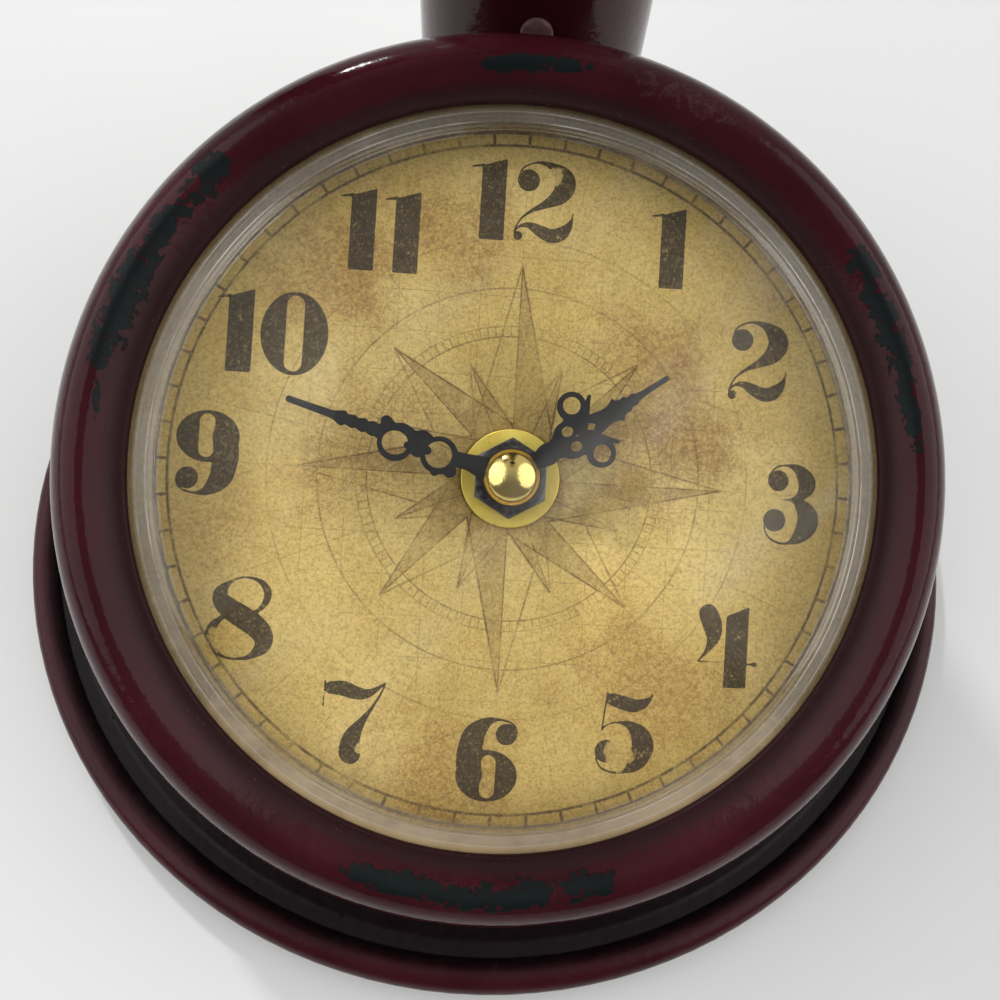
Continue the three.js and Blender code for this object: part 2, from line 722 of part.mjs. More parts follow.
const minutePieces = [
  disc(0, 0, 4.8, 8),
  bar(0, 10, 2.2, 1.2),
  disc(9.9, 2.2, 1.3),
  disc(12.4, 0.5, 3.2, 6),
  disc(15.8, -1.5, 1.1),
  disc(16.2, 0.4, 1.5),
  disc(19.8, 0.9, 3, 6),
  disc(19.4, -1.9, 1),
  disc(22.4, -1.9, 1),
  disc(23.2, 0.2, 1.5),
  disc(25, 0, 1.4),
  disc(27, 0, 1.3),
  disc(29, 0, 1.2),
  bar(22, 31, 1.3, 0.8),
  bar(30, MINUTE_LENGTH - HAND_TIP, 0.8, HAND_TIP),
  disc(MINUTE_LENGTH - HAND_TIP, 0, HAND_TIP),
];
const minutePiercings = [disc(12.6, 0.3, 2.1, 5), disc(19.9, 0.8, 1.9, 5)];
add(
  "minute_hand",
  handOf(minutePieces, minutePiercings, MINUTE_ARBOR + GAP, MINUTE_HAND, MINUTE_ANGLE),
  BLACK,
  clock,
);
add(
  "hand_cap",
  turned(
    [
      [0, CAP_BOTTOM + CAP_BORE_DEPTH],
      [MINUTE_ARBOR + GAP, CAP_BOTTOM + CAP_BORE_DEPTH],
      [MINUTE_ARBOR + GAP, CAP_BOTTOM],
      [CAP_RADIUS, CAP_BOTTOM],
      ...arc(0, CAP_BOTTOM + CAP_RIM, CAP_RADIUS, CAP_HEIGHT - CAP_RIM, 0, 90, 4),
    ],
    24,
  ),
  BRASS,
  clock,
);

// Movement

const movement = new THREE.Group();
movement.position.z = MOVEMENT_FRONT;
clock.add(movement);

// A shape given thickness between two depths behind the movement's front.
function slab(shape, from, to, curveSegments = 8) {
  return plate(shape, -to, -from, curveSegments);
}

function post(radius, place, from, to, segments = 16) {
  return tube(radius, 0, -to, -from, segments).translate(place[0], place[1], 0);
}

// Centre of a wheel that meshes with another one.
function meshing([x, y], distance, degrees) {
  const a = THREE.MathUtils.degToRad(degrees);
  return [x + distance * Math.cos(a), y + distance * Math.sin(a)];
}

const pitchRadius = (teeth, size) => (teeth * size) / 2;
const HALF_TOOTH = 0.5;

// A gear with a tooth pointing along a direction, or shifted from there by a share of the spacing.
function gear(teeth, size, bore, direction, shift = 0) {
  const pitch = pitchRadius(teeth, size);
  const tip = pitch + TOOTH_TIP * size;
  const foot = pitch - TOOTH_FOOT * size;
  const step = (2 * Math.PI) / teeth;
  const start = THREE.MathUtils.degToRad(direction) + shift * step;
  const corners = [
    [foot, -TOOTH_HALF],
    [tip, 0],
    [foot, TOOTH_HALF],
  ];
  const points = [];
  for (let i = 0; i < teeth; i++) {
    for (const [radius, share] of corners) {
      const a = start + (i + share) * step;
      points.push([radius * Math.cos(a), radius * Math.sin(a)]);
    }
  }
  const shape = polygon(points);
  shape.holes.push(hole(bore));
  return shape;
}

const trainPinion = pitchRadius(TRAIN_PINION, TRAIN_MODULE);
const hub = [0, 0];
const motionDistance = pitchRadius(MINUTE_PINION + MOTION_TEETH, MOTION_MODULE);
const motionAxis = meshing(hub, motionDistance, 180);
const setAxis = meshing(motionAxis, pitchRadius(MOTION_TEETH + SET_TEETH, MOTION_MODULE), 90);
const centreToThird = pitchRadius(CENTRE_TEETH, TRAIN_MODULE) + trainPinion;
const thirdAxis = meshing(hub, centreToThird, THIRD_DIRECTION);
const thirdToSecond = pitchRadius(THIRD_TEETH, TRAIN_MODULE) + trainPinion;
const secondAxis = meshing(thirdAxis, thirdToSecond, SECOND_DIRECTION);
const secondToStep = pitchRadius(SECOND_TEETH, TRAIN_MODULE) + trainPinion;
const stepAxis = meshing(secondAxis, secondToStep, STEP_DIRECTION);
const stepToRotor = pitchRadius(STEP_TEETH, TRAIN_MODULE) + trainPinion;
const rotorAxis = meshing(stepAxis, stepToRotor, ROTOR_DIRECTION);

const wheelEnd = (layer) => layer + WHEEL_THICKNESS;
const rotorBack = wheelEnd(LAYER_STEP) + GAP + ROTOR_LENGTH;
const outline = rounded(MOVEMENT_SIZE, MOVEMENT_SIZE, MOVEMENT_CORNER);
const walls = rounded(MOVEMENT_SIZE, MOVEMENT_SIZE, MOVEMENT_CORNER);
const inner = rounded(2 * MOVEMENT_INNER, 2 * MOVEMENT_INNER, MOVEMENT_CORNER - MOVEMENT_WALL);
walls.holes.push(new THREE.Path(inner.getPoints(4).reverse()));
const half = PARTITION / 2;
const partitionEnd = MOVEMENT_INNER + MOVEMENT_WALL / 2;
const partition = rectangle(-partitionEnd, PARTITION_Y - half, partitionEnd, PARTITION_Y + half);
const bushLength = BUSH_END - MOVEMENT_FRONT;
const shellBlank = joined(
  slab(outline, 0, MOVEMENT_WALL, 4),
  slab(walls, MOVEMENT_WALL / 2, MOVEMENT_DEPTH, 4),
  slab(partition, MOVEMENT_WALL / 2, MOVEMENT_DEPTH),
  tube(BUSH_RADIUS, 0, -MOVEMENT_WALL / 2, bushLength, 24),
  post(PIN_RADIUS, motionAxis, MOVEMENT_WALL / 2, wheelEnd(LAYER_MOTION) + GAP, 8),
  post(PIN_RADIUS, thirdAxis, MOVEMENT_WALL / 2, wheelEnd(LAYER_THIRD) + GAP, 8),
  post(PIN_RADIUS, secondAxis, MOVEMENT_WALL / 2, wheelEnd(LAYER_SECOND) + GAP, 8),
  post(PIN_RADIUS, stepAxis, MOVEMENT_WALL / 2, wheelEnd(LAYER_STEP) + GAP, 8),
  post(PIN_RADIUS, rotorAxis, MOVEMENT_WALL / 2, rotorBack + GAP, 8),
);
const bushBore = tube(BUSH_BORE, 0, -MOVEMENT_DEPTH, bushLength * 2, 24);
add("movement_case", cut(shellBlank, bushBore), GREY_PLASTIC, movement);

const coverTop = MOVEMENT_SIZE / 2;
const coverShape = rectangle(-coverTop, PARTITION_Y - half, coverTop, coverTop);
coverShape.holes.push(hole(SET_ARBOR + GAP, ...setAxis));
add("movement_cover", slab(coverShape, COVER_FRONT, COVER_BACK), GREY_PLASTIC, movement);

// Motion work: the minute arbor drives the hour wheel through the motion wheel.
const arborLength = ARBOR_END - MOVEMENT_FRONT;
const minuteArbor = tube(MINUTE_ARBOR, 0, -wheelEnd(LAYER_CENTRE) - GAP, arborLength, SMALL);
const minutePinion = gear(MINUTE_PINION, MOTION_MODULE, MINUTE_ARBOR / 2, 180);
add(
  "minute_arbor",
  joined(minuteArbor, slab(minutePinion, LAYER_MOTION, wheelEnd(LAYER_MOTION))),
  STEEL,
  movement,
);
const hourWheelShape = gear(HOUR_TEETH, HOUR_MODULE, HOUR_BORE, 180, HALF_TOOTH);
const hourTubeShape = circle(HOUR_TUBE);
hourTubeShape.holes.push(hole(HOUR_BORE));
const hourTubeEnd = MOVEMENT_FRONT - HOUR_TUBE_END;
add(
  "hour_wheel",
  joined(
    slab(hourWheelShape, LAYER_HOUR, wheelEnd(LAYER_HOUR)),
    slab(hourTubeShape, hourTubeEnd, LAYER_HOUR + WHEEL_THICKNESS / 2),
  ),
  BRASS,
  movement,
);

// A wheel with its pinion on one pin, the pinion from its own layer to the wheel.
function wheelAndPinion(name, axis, wheelShape, wheelLayer, pinionShape, pinionLayer, finish) {
  const wheel = slab(wheelShape, wheelLayer, wheelEnd(wheelLayer), 4);
  const pinion = slab(pinionShape, pinionLayer, wheelLayer + WHEEL_THICKNESS / 2, 4);
  add(name, joined(wheel, pinion).translate(axis[0], axis[1], 0), finish, movement);
}

wheelAndPinion(
  "motion_wheel",
  motionAxis,
  gear(MOTION_TEETH, MOTION_MODULE, PINION_BORE, 0, HALF_TOOTH),
  LAYER_MOTION,
  gear(MOTION_PINION, HOUR_MODULE, PINION_BORE, 0),
  LAYER_HOUR,
  WHITE_PLASTIC,
);
const centreGear = gear(CENTRE_TEETH, TRAIN_MODULE, MINUTE_ARBOR + GAP, THIRD_DIRECTION);
add("centre_wheel", slab(centreGear, LAYER_CENTRE, wheelEnd(LAYER_CENTRE)), WHITE_PLASTIC, movement);
wheelAndPinion(
  "third_wheel",
  thirdAxis,
  gear(THIRD_TEETH, TRAIN_MODULE, PINION_BORE, SECOND_DIRECTION),
  LAYER_THIRD,
  gear(TRAIN_PINION, TRAIN_MODULE, PINION_BORE, THIRD_DIRECTION + 180, HALF_TOOTH),
  LAYER_CENTRE - GAP / 2,
  WHITE_PLASTIC,
);
wheelAndPinion(
  "second_wheel",
  secondAxis,
  gear(SECOND_TEETH, TRAIN_MODULE, PINION_BORE, STEP_DIRECTION),
  LAYER_SECOND,
  gear(TRAIN_PINION, TRAIN_MODULE, PINION_BORE, SECOND_DIRECTION + 180, HALF_TOOTH),
  LAYER_THIRD - GAP / 2,
  WHITE_PLASTIC,
);
wheelAndPinion(
  "intermediate_wheel",
  stepAxis,
  gear(STEP_TEETH, TRAIN_MODULE, PINION_BORE, ROTOR_DIRECTION),
  LAYER_STEP,
  gear(TRAIN_PINION, TRAIN_MODULE, PINION_BORE, STEP_DIRECTION + 180, HALF_TOOTH),
  LAYER_SECOND - GAP / 2,
  WHITE_PLASTIC,
);
const rotorPinion = gear(TRAIN_PINION, TRAIN_MODULE, PINION_BORE, ROTOR_DIRECTION + 180, HALF_TOOTH);
const rotorFront = wheelEnd(LAYER_STEP) + GAP;
const magnet = circle(ROTOR_RADIUS);
magnet.holes.push(hole(PINION_BORE));
add(
  "rotor",
  joined(
    slab(rotorPinion, LAYER_STEP - GAP / 2, rotorFront + ROTOR_LENGTH / 2, 4),
    slab(magnet, rotorFront, rotorBack, 6),
  ).translate(rotorAxis[0], rotorAxis[1], 0),
  IRON,
  movement,
);

// Step motor: stator plate with its core through the coil
const statorFront = rotorFront + (ROTOR_LENGTH - STATOR_THICKNESS) / 2;
const statorBack = statorFront + STATOR_THICKNESS;
const coreLow = rotorAxis[1] - CORE_WIDTH / 2;
const coreHigh = rotorAxis[1] + CORE_WIDTH / 2;
const statorShape = polygon([
  [CORE_END, coreLow],
  [rotorAxis[0] - STATOR_REACH, coreLow],
  [rotorAxis[0] - STATOR_REACH, rotorAxis[1] - STATOR_REACH],
  [rotorAxis[0] + STATOR_REACH, rotorAxis[1] - STATOR_REACH],
  [rotorAxis[0] + STATOR_REACH, rotorAxis[1] + STATOR_REACH],
  [rotorAxis[0] - STATOR_REACH, rotorAxis[1] + STATOR_REACH],
  [rotorAxis[0] - STATOR_REACH, coreHigh],
  [CORE_END, coreHigh],
]);
statorShape.holes.push(hole(ROTOR_RADIUS + STATOR_CLEARANCE, ...rotorAxis));
add("stator", slab(statorShape, statorFront, statorBack), STEEL, movement);

const coilMiddle = (statorFront + statorBack) / 2;
const coilBlank = slab(
  rectangle(
    COIL_X - COIL_LENGTH / 2,
    rotorAxis[1] - COIL_WIDTH / 2,
    COIL_X + COIL_LENGTH / 2,
    rotorAxis[1] + COIL_WIDTH / 2,
  ),
  coilMiddle - COIL_HEIGHT / 2,
  coilMiddle + COIL_HEIGHT / 2,
);
const coreRoom = slab(
  rectangle(COIL_X - COIL_LENGTH, coreLow - GAP, COIL_X + COIL_LENGTH, coreHigh + GAP),
  statorFront - GAP,
  statorBack + GAP,
);
add("coil", cut(coilBlank, coreRoom), COPPER, movement);

const board = rectangle(
  BOARD_PLACE[0] - BOARD_SIZE[0] / 2,
  BOARD_PLACE[1] - BOARD_SIZE[1] / 2,
  BOARD_PLACE[0] + BOARD_SIZE[0] / 2,
  BOARD_PLACE[1] + BOARD_SIZE[1] / 2,
);
add(
  "circuit_board",
  slab(board, COVER_FRONT - GAP - BOARD_THICKNESS, COVER_FRONT - GAP),
  GREEN_BOARD,
  movement,
);

// Set knob: its gear meshes with the motion wheel.
// Tooth spacings of the motion wheel from its gap at the hub, a quarter turn round to the set gear.
const quarterTurn = MOTION_TEETH / 4 + HALF_TOOTH;
const setGear = gear(SET_TEETH, MOTION_MODULE, SET_ARBOR / 2, -90, quarterTurn + HALF_TOOTH);
const grip = new THREE.Shape();
for (let i = 0; i < GRIP_RIBS * 2; i++) {
  const radius = SET_KNOB_RADIUS - (i % 2) * GRIP_DEPTH;
  const a = (i * Math.PI) / GRIP_RIBS;
  grip[i ? "lineTo" : "moveTo"](radius * Math.cos(a), radius * Math.sin(a));
}
const knobFront = COVER_BACK + GAP;
add(
  "set_knob",
  joined(
    post(SET_ARBOR, hub, MOVEMENT_WALL + GAP, knobFront + SET_KNOB_LENGTH / 2),
    slab(setGear, LAYER_MOTION, wheelEnd(LAYER_MOTION)),
    slab(grip, knobFront, knobFront + SET_KNOB_LENGTH),
  ).translate(setAxis[0], setAxis[1], 0),
  WHITE_PLASTIC,
  movement,
);

// Battery and its contacts
const batteryY = (PARTITION_Y - half - MOVEMENT_INNER) / 2;
const batteryDepth = MOVEMENT_WALL + GAP + BATTERY_RADIUS;
const batteryBody = turned(
  [
    [0, -BATTERY_LENGTH / 2],
    [BATTERY_RADIUS, -BATTERY_LENGTH / 2],
    [BATTERY_RADIUS, BATTERY_LENGTH / 2],
    [BATTERY_NUB_RADIUS, BATTERY_LENGTH / 2],
    [BATTERY_NUB_RADIUS, BATTERY_LENGTH / 2 + BATTERY_NUB],
    [0, BATTERY_LENGTH / 2 + BATTERY_NUB],
  ],
  24,
).rotateY(Math.PI / 2);
add("battery", batteryBody.translate(0, batteryY, -batteryDepth), BATTERY_SLEEVE, movement);

const contactOutside = MOVEMENT_INNER - GAP;
const contactShape = rectangle(
  contactOutside - CONTACT_THICKNESS,
  batteryY - CONTACT_WIDTH / 2,
  contactOutside,
  batteryY + CONTACT_WIDTH / 2,
);
const contactFrom = batteryDepth - CONTACT_HEIGHT / 2;
const contactTo = batteryDepth + CONTACT_HEIGHT / 2;
add("contact_plus", slab(contactShape, contactFrom, contactTo), STEEL, movement);
const springLength = contactOutside - CONTACT_THICKNESS - BATTERY_LENGTH / 2 - GAP;
const springBoss = tube(SPRING_RADIUS, 0, 0, springLength + CONTACT_THICKNESS / 2, SMALL)
  .rotateY(Math.PI / 2)
  .translate(-contactOutside + CONTACT_THICKNESS / 2, batteryY, -batteryDepth);
const minusPlate = slab(contactShape, contactFrom, contactTo);
minusPlate.translate(CONTACT_THICKNESS - 2 * contactOutside, 0, 0);
add("contact_minus", joined(minusPlate, springBoss), STEEL, movement);

// Column

const columnScrewHole = tube(SCREW_RADIUS + GAP, 0, -COLUMN_RADIUS, COLUMN_RADIUS, SMALL)
  .rotateX(Math.PI / 2)
  .translate(0, COLUMN_Y - COLUMN_RADIUS, COLUMN_SCREW_HEIGHT);
const stemHole = tube(STEM_RADIUS + GAP, 0, -COLUMN_RADIUS, 0, SMALL)
  .rotateY(Math.PI / 2)
  .translate(-COLUMN_RADIUS / 2, RECEIVER_Y, FORK_HEIGHT);
const columnBlank = tube(COLUMN_RADIUS, COLUMN_BORE, COLUMN_FOOT, COLUMN_TOP, ROUND);
columnBlank.translate(0, COLUMN_Y, 0);
add("column_tube", cut(columnBlank, columnScrewHole, stemHole), PAINT);

const plugRadius = COLUMN_BORE - GAP;
const rodFree = ROD_RADIUS + GAP;
const plug = tube(plugRadius, rodFree, COLUMN_FOOT, COLUMN_FOOT + PLUG_THICKNESS);
add("column_plug", plug.translate(0, COLUMN_Y, 0), IRON);

const headBottom = COLUMN_TOP - HEAD_PLUG_LENGTH;
const rodTop = COLUMN_TOP + HEAD_FLANGE_THICKNESS;
const rod = tube(ROD_RADIUS, 0, BALLAST_BOTTOM, rodTop, SMALL);
add("tie_rod", rod.translate(0, COLUMN_Y, 0), STEEL);
const rodNut = plate(hexagon(ROD_NUT_FLATS, rodFree), BALLAST_BOTTOM, BALLAST_TOP);
add("tie_rod_nut", rodNut.translate(0, COLUMN_Y, 0), STEEL);

const domeStart = COLUMN_Y - COLUMN_RADIUS - GAP;
const columnScrew = turned(
  [
    [0, -COLUMN_SCREW_LENGTH],
    [SCREW_RADIUS, -COLUMN_SCREW_LENGTH],
    [SCREW_RADIUS, 0],
    [COLUMN_SCREW_HEAD, 0],
    ...arc(0, 0, COLUMN_SCREW_HEAD, COLUMN_SCREW_DOME, 10, 90, 3),
  ],
  20,
).rotateX(Math.PI / 2);
add("column_screw", columnScrew.translate(0, domeStart, COLUMN_SCREW_HEIGHT), PAINT);

const plateFront = COLUMN_Y - COLUMN_BORE;
const nutPlateBlank = block(
  -NUT_PLATE_WIDTH / 2,
  plateFront,
  COLUMN_SCREW_HEIGHT - NUT_PLATE_HEIGHT / 2,
  NUT_PLATE_WIDTH / 2,
  plateFront + NUT_PLATE_DEPTH,
  COLUMN_SCREW_HEIGHT + NUT_PLATE_HEIGHT / 2,
);
const insideColumn = tube(plugRadius, 0, 0, COLUMN_TOP, ROUND).translate(0, COLUMN_Y, 0);
add("nut_plate", cut(common(nutPlateBlank, insideColumn), columnScrewHole), STEEL);

const bracketBlank = block(
  -BRACKET_WIDTH / 2,
  caseY,
  BRACKET_LOW,
  BRACKET_WIDTH / 2,
  COLUMN_Y,
  BRACKET_HIGH,
);
add(
  "case_bracket",
  cut(
    bracketBlank,
    tube(CASE_RADIUS + GAP, 0, 0, COLUMN_TOP, LARGE).translate(0, caseY, 0),
    tube(COLUMN_RADIUS + GAP, 0, 0, COLUMN_TOP, ROUND).translate(0, COLUMN_Y, 0),
  ),
  IRON,
);

const flangeBottom = COLUMN_TOP + GAP;
const flangeTop = flangeBottom + HEAD_FLANGE_THICKNESS;
const flangeEdge = HEAD_FLANGE_THICKNESS / 2;
const filletStart = HEAD_FLANGE - HEAD_SHOULDER;
const tongueBottom = PIVOT_HEIGHT - 2 * TONGUE_RADIUS;
const headTurned = turned(
  [
    [rodFree, headBottom],
    [plugRadius, headBottom],
    [plugRadius, flangeBottom],
    ...arc(HEAD_FLANGE - flangeEdge, flangeBottom + flangeEdge, flangeEdge, flangeEdge, -90, 90, 4),
    ...arc(filletStart, flangeTop + HEAD_FILLET, filletStart - NECK_RADIUS, HEAD_FILLET, -90, -180, 4),
    [NECK_RADIUS, tongueBottom + TONGUE_SEAT],
    [0, tongueBottom + TONGUE_SEAT],
    [0, rodTop + GAP],
    [rodFree, rodTop + GAP],
  ],
  ROUND,
);
const tongueOutline = new THREE.Shape()
  .moveTo(-TONGUE_ROOT, 0)
  .lineTo(TONGUE_ROOT, 0)
  .lineTo(TONGUE_RADIUS, PIVOT_HEIGHT - tongueBottom)
  .absarc(0, PIVOT_HEIGHT - tongueBottom, TONGUE_RADIUS, 0, Math.PI);
tongueOutline.holes.push(hole(PIVOT_FREE, 0, PIVOT_HEIGHT - tongueBottom));

// Turns a shape drawn in [forward, up] into one standing on the middle plane.
function standing(geometry) {
  return geometry.applyMatrix4(
    new THREE.Matrix4().makeBasis(
      new THREE.Vector3(0, -1, 0),
      new THREE.Vector3(0, 0, 1),
      new THREE.Vector3(-1, 0, 0),
    ),
  );
}
const tongue = standing(plate(tongueOutline, -TONGUE_THICKNESS / 2, TONGUE_THICKNESS / 2, 8));
add(
  "head_block",
  joined(headTurned, tongue.translate(0, 0, tongueBottom)).translate(0, COLUMN_Y, 0),
  PAINT,
);

// Transmitter: its group stands at the pivot, and the cup looks forward.

const transmitter = new THREE.Group();
transmitter.position.set(0, COLUMN_Y, PIVOT_HEIGHT);
root.add(transmitter);

const boltEnd = YOKE_OUTER + GAP + PIVOT_NUT_LENGTH;
const bolt = turned(
  [
    [0, -YOKE_OUTER - GAP - PIVOT_HEAD_THICKNESS],
    [PIVOT_HEAD - PIVOT_HEAD_EDGE, -YOKE_OUTER - GAP - PIVOT_HEAD_THICKNESS],
    [PIVOT_HEAD, -YOKE_OUTER - GAP - PIVOT_HEAD_THICKNESS / 2],
    [PIVOT_HEAD, -YOKE_OUTER - GAP],
    [PIVOT_RADIUS, -YOKE_OUTER - GAP],
    [PIVOT_RADIUS, boltEnd],
    [0, boltEnd],
  ],
  SMALL,
).rotateY(Math.PI / 2);
add("pivot_bolt", bolt, BRASS, transmitter);
const pivotNut = tube(PIVOT_HEAD, PIVOT_FREE, YOKE_OUTER + GAP, boltEnd, SMALL).rotateY(Math.PI / 2);
add("pivot_nut", pivotNut, BRASS, transmitter);

const bridgeFront = CUP_BACK - GAP;
const bridgeBack = bridgeFront - BRIDGE_THICKNESS;
const bridgeBottom = CUP_RISE - BRIDGE_BELOW;
const bridgeTop = CUP_RISE + BRIDGE_ABOVE;
const earShape = new THREE.Shape()
  .moveTo(0, -EAR_RADIUS)
  .lineTo(bridgeFront, bridgeBottom)
  .lineTo(bridgeFront, bridgeTop)
  .lineTo(bridgeBack, bridgeTop)
  .lineTo(...EAR_SHOULDER)
  .absarc(0, 0, EAR_RADIUS, Math.atan2(EAR_SHOULDER[1], EAR_SHOULDER[0]), Math.PI * 1.5);
earShape.holes.push(hole(PIVOT_FREE));
const bridgeShape = rectangle(bridgeBack, bridgeBottom, bridgeFront, bridgeTop);
add(
  "transmitter_yoke",
  joined(
    standing(plate(earShape, YOKE_INNER, YOKE_OUTER, 8)),
    standing(plate(earShape, -YOKE_OUTER, -YOKE_INNER, 8)),
    standing(plate(bridgeShape, -YOKE_OUTER, YOKE_OUTER)),
  ),
  PAINT,
  transmitter,
);

// Turned pieces of the transmitter run along the forward axis at the cup's height.
function forward(profile, segments) {
  return turned(profile, segments).rotateX(Math.PI / 2).translate(0, 0, CUP_RISE);
}
const cupFront = CUP_BACK + CUP_DEPTH;
const faceBack = cupFront + GAP;
const faceFront = faceBack + FACE_THICKNESS;
const hornBack = faceFront + GAP;
const hornFront = hornBack + HORN_LENGTH;
const cupBore = CUP_RADIUS - CUP_WALL;
add(
  "transmitter_cup",
  forward(
    [
      [0, CUP_BACK],
      ...arc(CUP_RADIUS - CUP_ROUND, CUP_BACK + CUP_ROUND, CUP_ROUND, CUP_ROUND, -90, 0, 3),
      [CUP_RADIUS, cupFront],
      [cupBore, cupFront],
      [cupBore, CUP_BACK + CUP_ROUND],
      [cupBore - CUP_ROUND / 2, CUP_BACK + CUP_WALL],
      [0, CUP_BACK + CUP_WALL],
    ],
    ROUND,
  ),
  PAINT,
  transmitter,
);
add(
  "transmitter_face",
  forward(
    [
      [FACE_HOLE, faceBack],
      [CUP_RADIUS, faceBack],
      [CUP_RADIUS, faceFront - FACE_THICKNESS / 2],
      [CUP_RADIUS - FACE_EDGE, faceFront],
      [FACE_HOLE, faceFront],
    ],
    ROUND,
  ),
  PAINT,
  transmitter,
);
const hornShape = (share) => HORN_NECK + (HORN_MOUTH - HORN_NECK) * share ** 2;
const hornSteps = [0, 0.3, 0.55, 0.75, 0.9, 1];
const hornOutside = hornSteps.map((s) => [hornShape(s), hornBack + HORN_LENGTH * s]);
const hornInside = hornOutside.map(([r, z]) => [r - HORN_WALL, z]).reverse();
add("mouthpiece", forward([...hornOutside, ...hornInside], ROUND), BLACK, transmitter);

// Hook fork: a rod bent into two prongs round the receiver, on a stem in the column

class ForkCurve extends THREE.Curve {
  // Along one prong, round the bend and along the other prong.
  getPoint(t) {
    const bend = Math.PI * FORK_RADIUS;
    const s = t * (2 * PRONG_LENGTH + bend);
    if (s < PRONG_LENGTH) return new THREE.Vector3(s - PRONG_LENGTH, -FORK_RADIUS, 0);
    if (s > PRONG_LENGTH + bend) {
      return new THREE.Vector3(PRONG_LENGTH + bend - s, FORK_RADIUS, 0);
    }
    const a = (s - PRONG_LENGTH) / FORK_RADIUS - Math.PI / 2;
    return new THREE.Vector3(FORK_RADIUS * Math.cos(a), FORK_RADIUS * Math.sin(a), 0);
  }
}
const rodSection = circle(FORK_ROD);
const forkRod = new THREE.ExtrudeGeometry(rodSection, {
  steps: 22,
  curveSegments: 3,
  bevelEnabled: false,
  extrudePath: new ForkCurve(),
});
const columnSide = Math.sqrt(COLUMN_RADIUS ** 2 - (COLUMN_Y - RECEIVER_Y) ** 2);
const stemStart = RECEIVER_X + FORK_RADIUS;
const collarEnd = -COLUMN_RADIUS - GAP;
const stem = turned(
  [
    [0, 0],
    [FORK_ROD, 0],
    [FORK_ROD, RECEIVER_BELL - FORK_RADIUS],
    [STEM_RADIUS, RECEIVER_BELL - FORK_RADIUS + STEM_TAPER],
    [STEM_RADIUS, collarEnd - stemStart - COLLAR_WIDTH - COLLAR_TAPER],
    [STEM_COLLAR, collarEnd - stemStart - COLLAR_WIDTH],
    [STEM_COLLAR, collarEnd - stemStart],
    [STEM_RADIUS, collarEnd - stemStart],
    [STEM_RADIUS, STEM_DEPTH - columnSide - stemStart],
    [0, STEM_DEPTH - columnSide - stemStart],
  ],
  SMALL,
).rotateY(Math.PI / 2);
add(
  "hook_fork",
  joined(
    forkRod.translate(RECEIVER_X, RECEIVER_Y, FORK_HEIGHT),
    stem.translate(stemStart, RECEIVER_Y, FORK_HEIGHT),
  ),
  BRASS,
);

// Receiver: hangs by its bell on the prongs, tail down

const receiver = new THREE.Group();
receiver.position.set(RECEIVER_X, RECEIVER_Y, FORK_HEIGHT);
root.add(receiver);

const bellStart = FORK_ROD + GAP;
const bellTop = bellStart + BELL_HEIGHT;
const bellFloor = bellStart + BELL_SLOPE + SHELL_WALL;
const prongOutside = FORK_RADIUS + FORK_ROD;
add(
  "receiver_shell",
  turned(
    [
      [CORD_BUSH_PLUG + GAP, -RECEIVER_LENGTH],
      [RECEIVER_NECK - TAIL_EDGE, -RECEIVER_LENGTH],
      [RECEIVER_NECK, -RECEIVER_LENGTH + TAIL_TAPER],
      [RECEIVER_NECK, bellStart],
      [prongOutside, bellStart + BELL_LIFT],
      [RECEIVER_BELL - BELL_EDGE, bellStart + BELL_SLOPE],
      [RECEIVER_BELL, bellStart + 2 * BELL_SLOPE],
      [RECEIVER_BELL, bellTop],
      [RECEIVER_BELL - SHELL_WALL, bellTop],
      [RECEIVER_BELL - SHELL_WALL, bellFloor],
      [0, bellFloor],
      [0, -RECEIVER_LENGTH + CORD_BUSH_DEPTH],
      [CORD_BUSH_PLUG + GAP, -RECEIVER_LENGTH + CORD_BUSH_DEPTH],
    ],
    ROUND,
  ),
  BLACK,
  receiver,
);
const earBottom = bellTop + GAP;
const earTop = earBottom + EAR_CAP_HEIGHT;
add(
  "ear_cap",
  turned(
    [
      [EAR_HOLE, earBottom],
      [EAR_CAP_RADIUS - EAR_CAP_EDGE / 2, earBottom],
      [EAR_CAP_RADIUS, earBottom + EAR_CAP_EDGE / 2],
      [EAR_CAP_RADIUS, earTop - EAR_CAP_EDGE],
      [EAR_CAP_RADIUS - EAR_CAP_EDGE, earTop],
      [EAR_CAP_RADIUS - EAR_RIM, earTop],
      [EAR_HOLE, earTop - EAR_DISH],
    ],
    ROUND,
  ),
  BLACK,
  receiver,
);
const bushTop = -RECEIVER_LENGTH - GAP;
add(
  "cord_bush",
  turned(
    [
      [CORD_HOLE, bushTop - CORD_BUSH_LENGTH],
      [CORD_BUSH_RADIUS - CORD_BUSH_TAPER, bushTop - CORD_BUSH_LENGTH],
      [CORD_BUSH_RADIUS, bushTop],
      [CORD_BUSH_PLUG, bushTop],
      [CORD_BUSH_PLUG, bushTop + CORD_BUSH_DEPTH],
      [CORD_HOLE, bushTop + CORD_BUSH_DEPTH],
    ],
    SMALL,
  ),
  BRASS,
  receiver,
);

export default root;
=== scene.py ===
"""Looks of the telephone-shaped table clock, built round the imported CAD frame."""
import math
from functools import reduce

import bmesh
import bpy
import numpy as np
from mathutils import Matrix, Vector
from mathutils.geometry import delaunay_2d_cdt


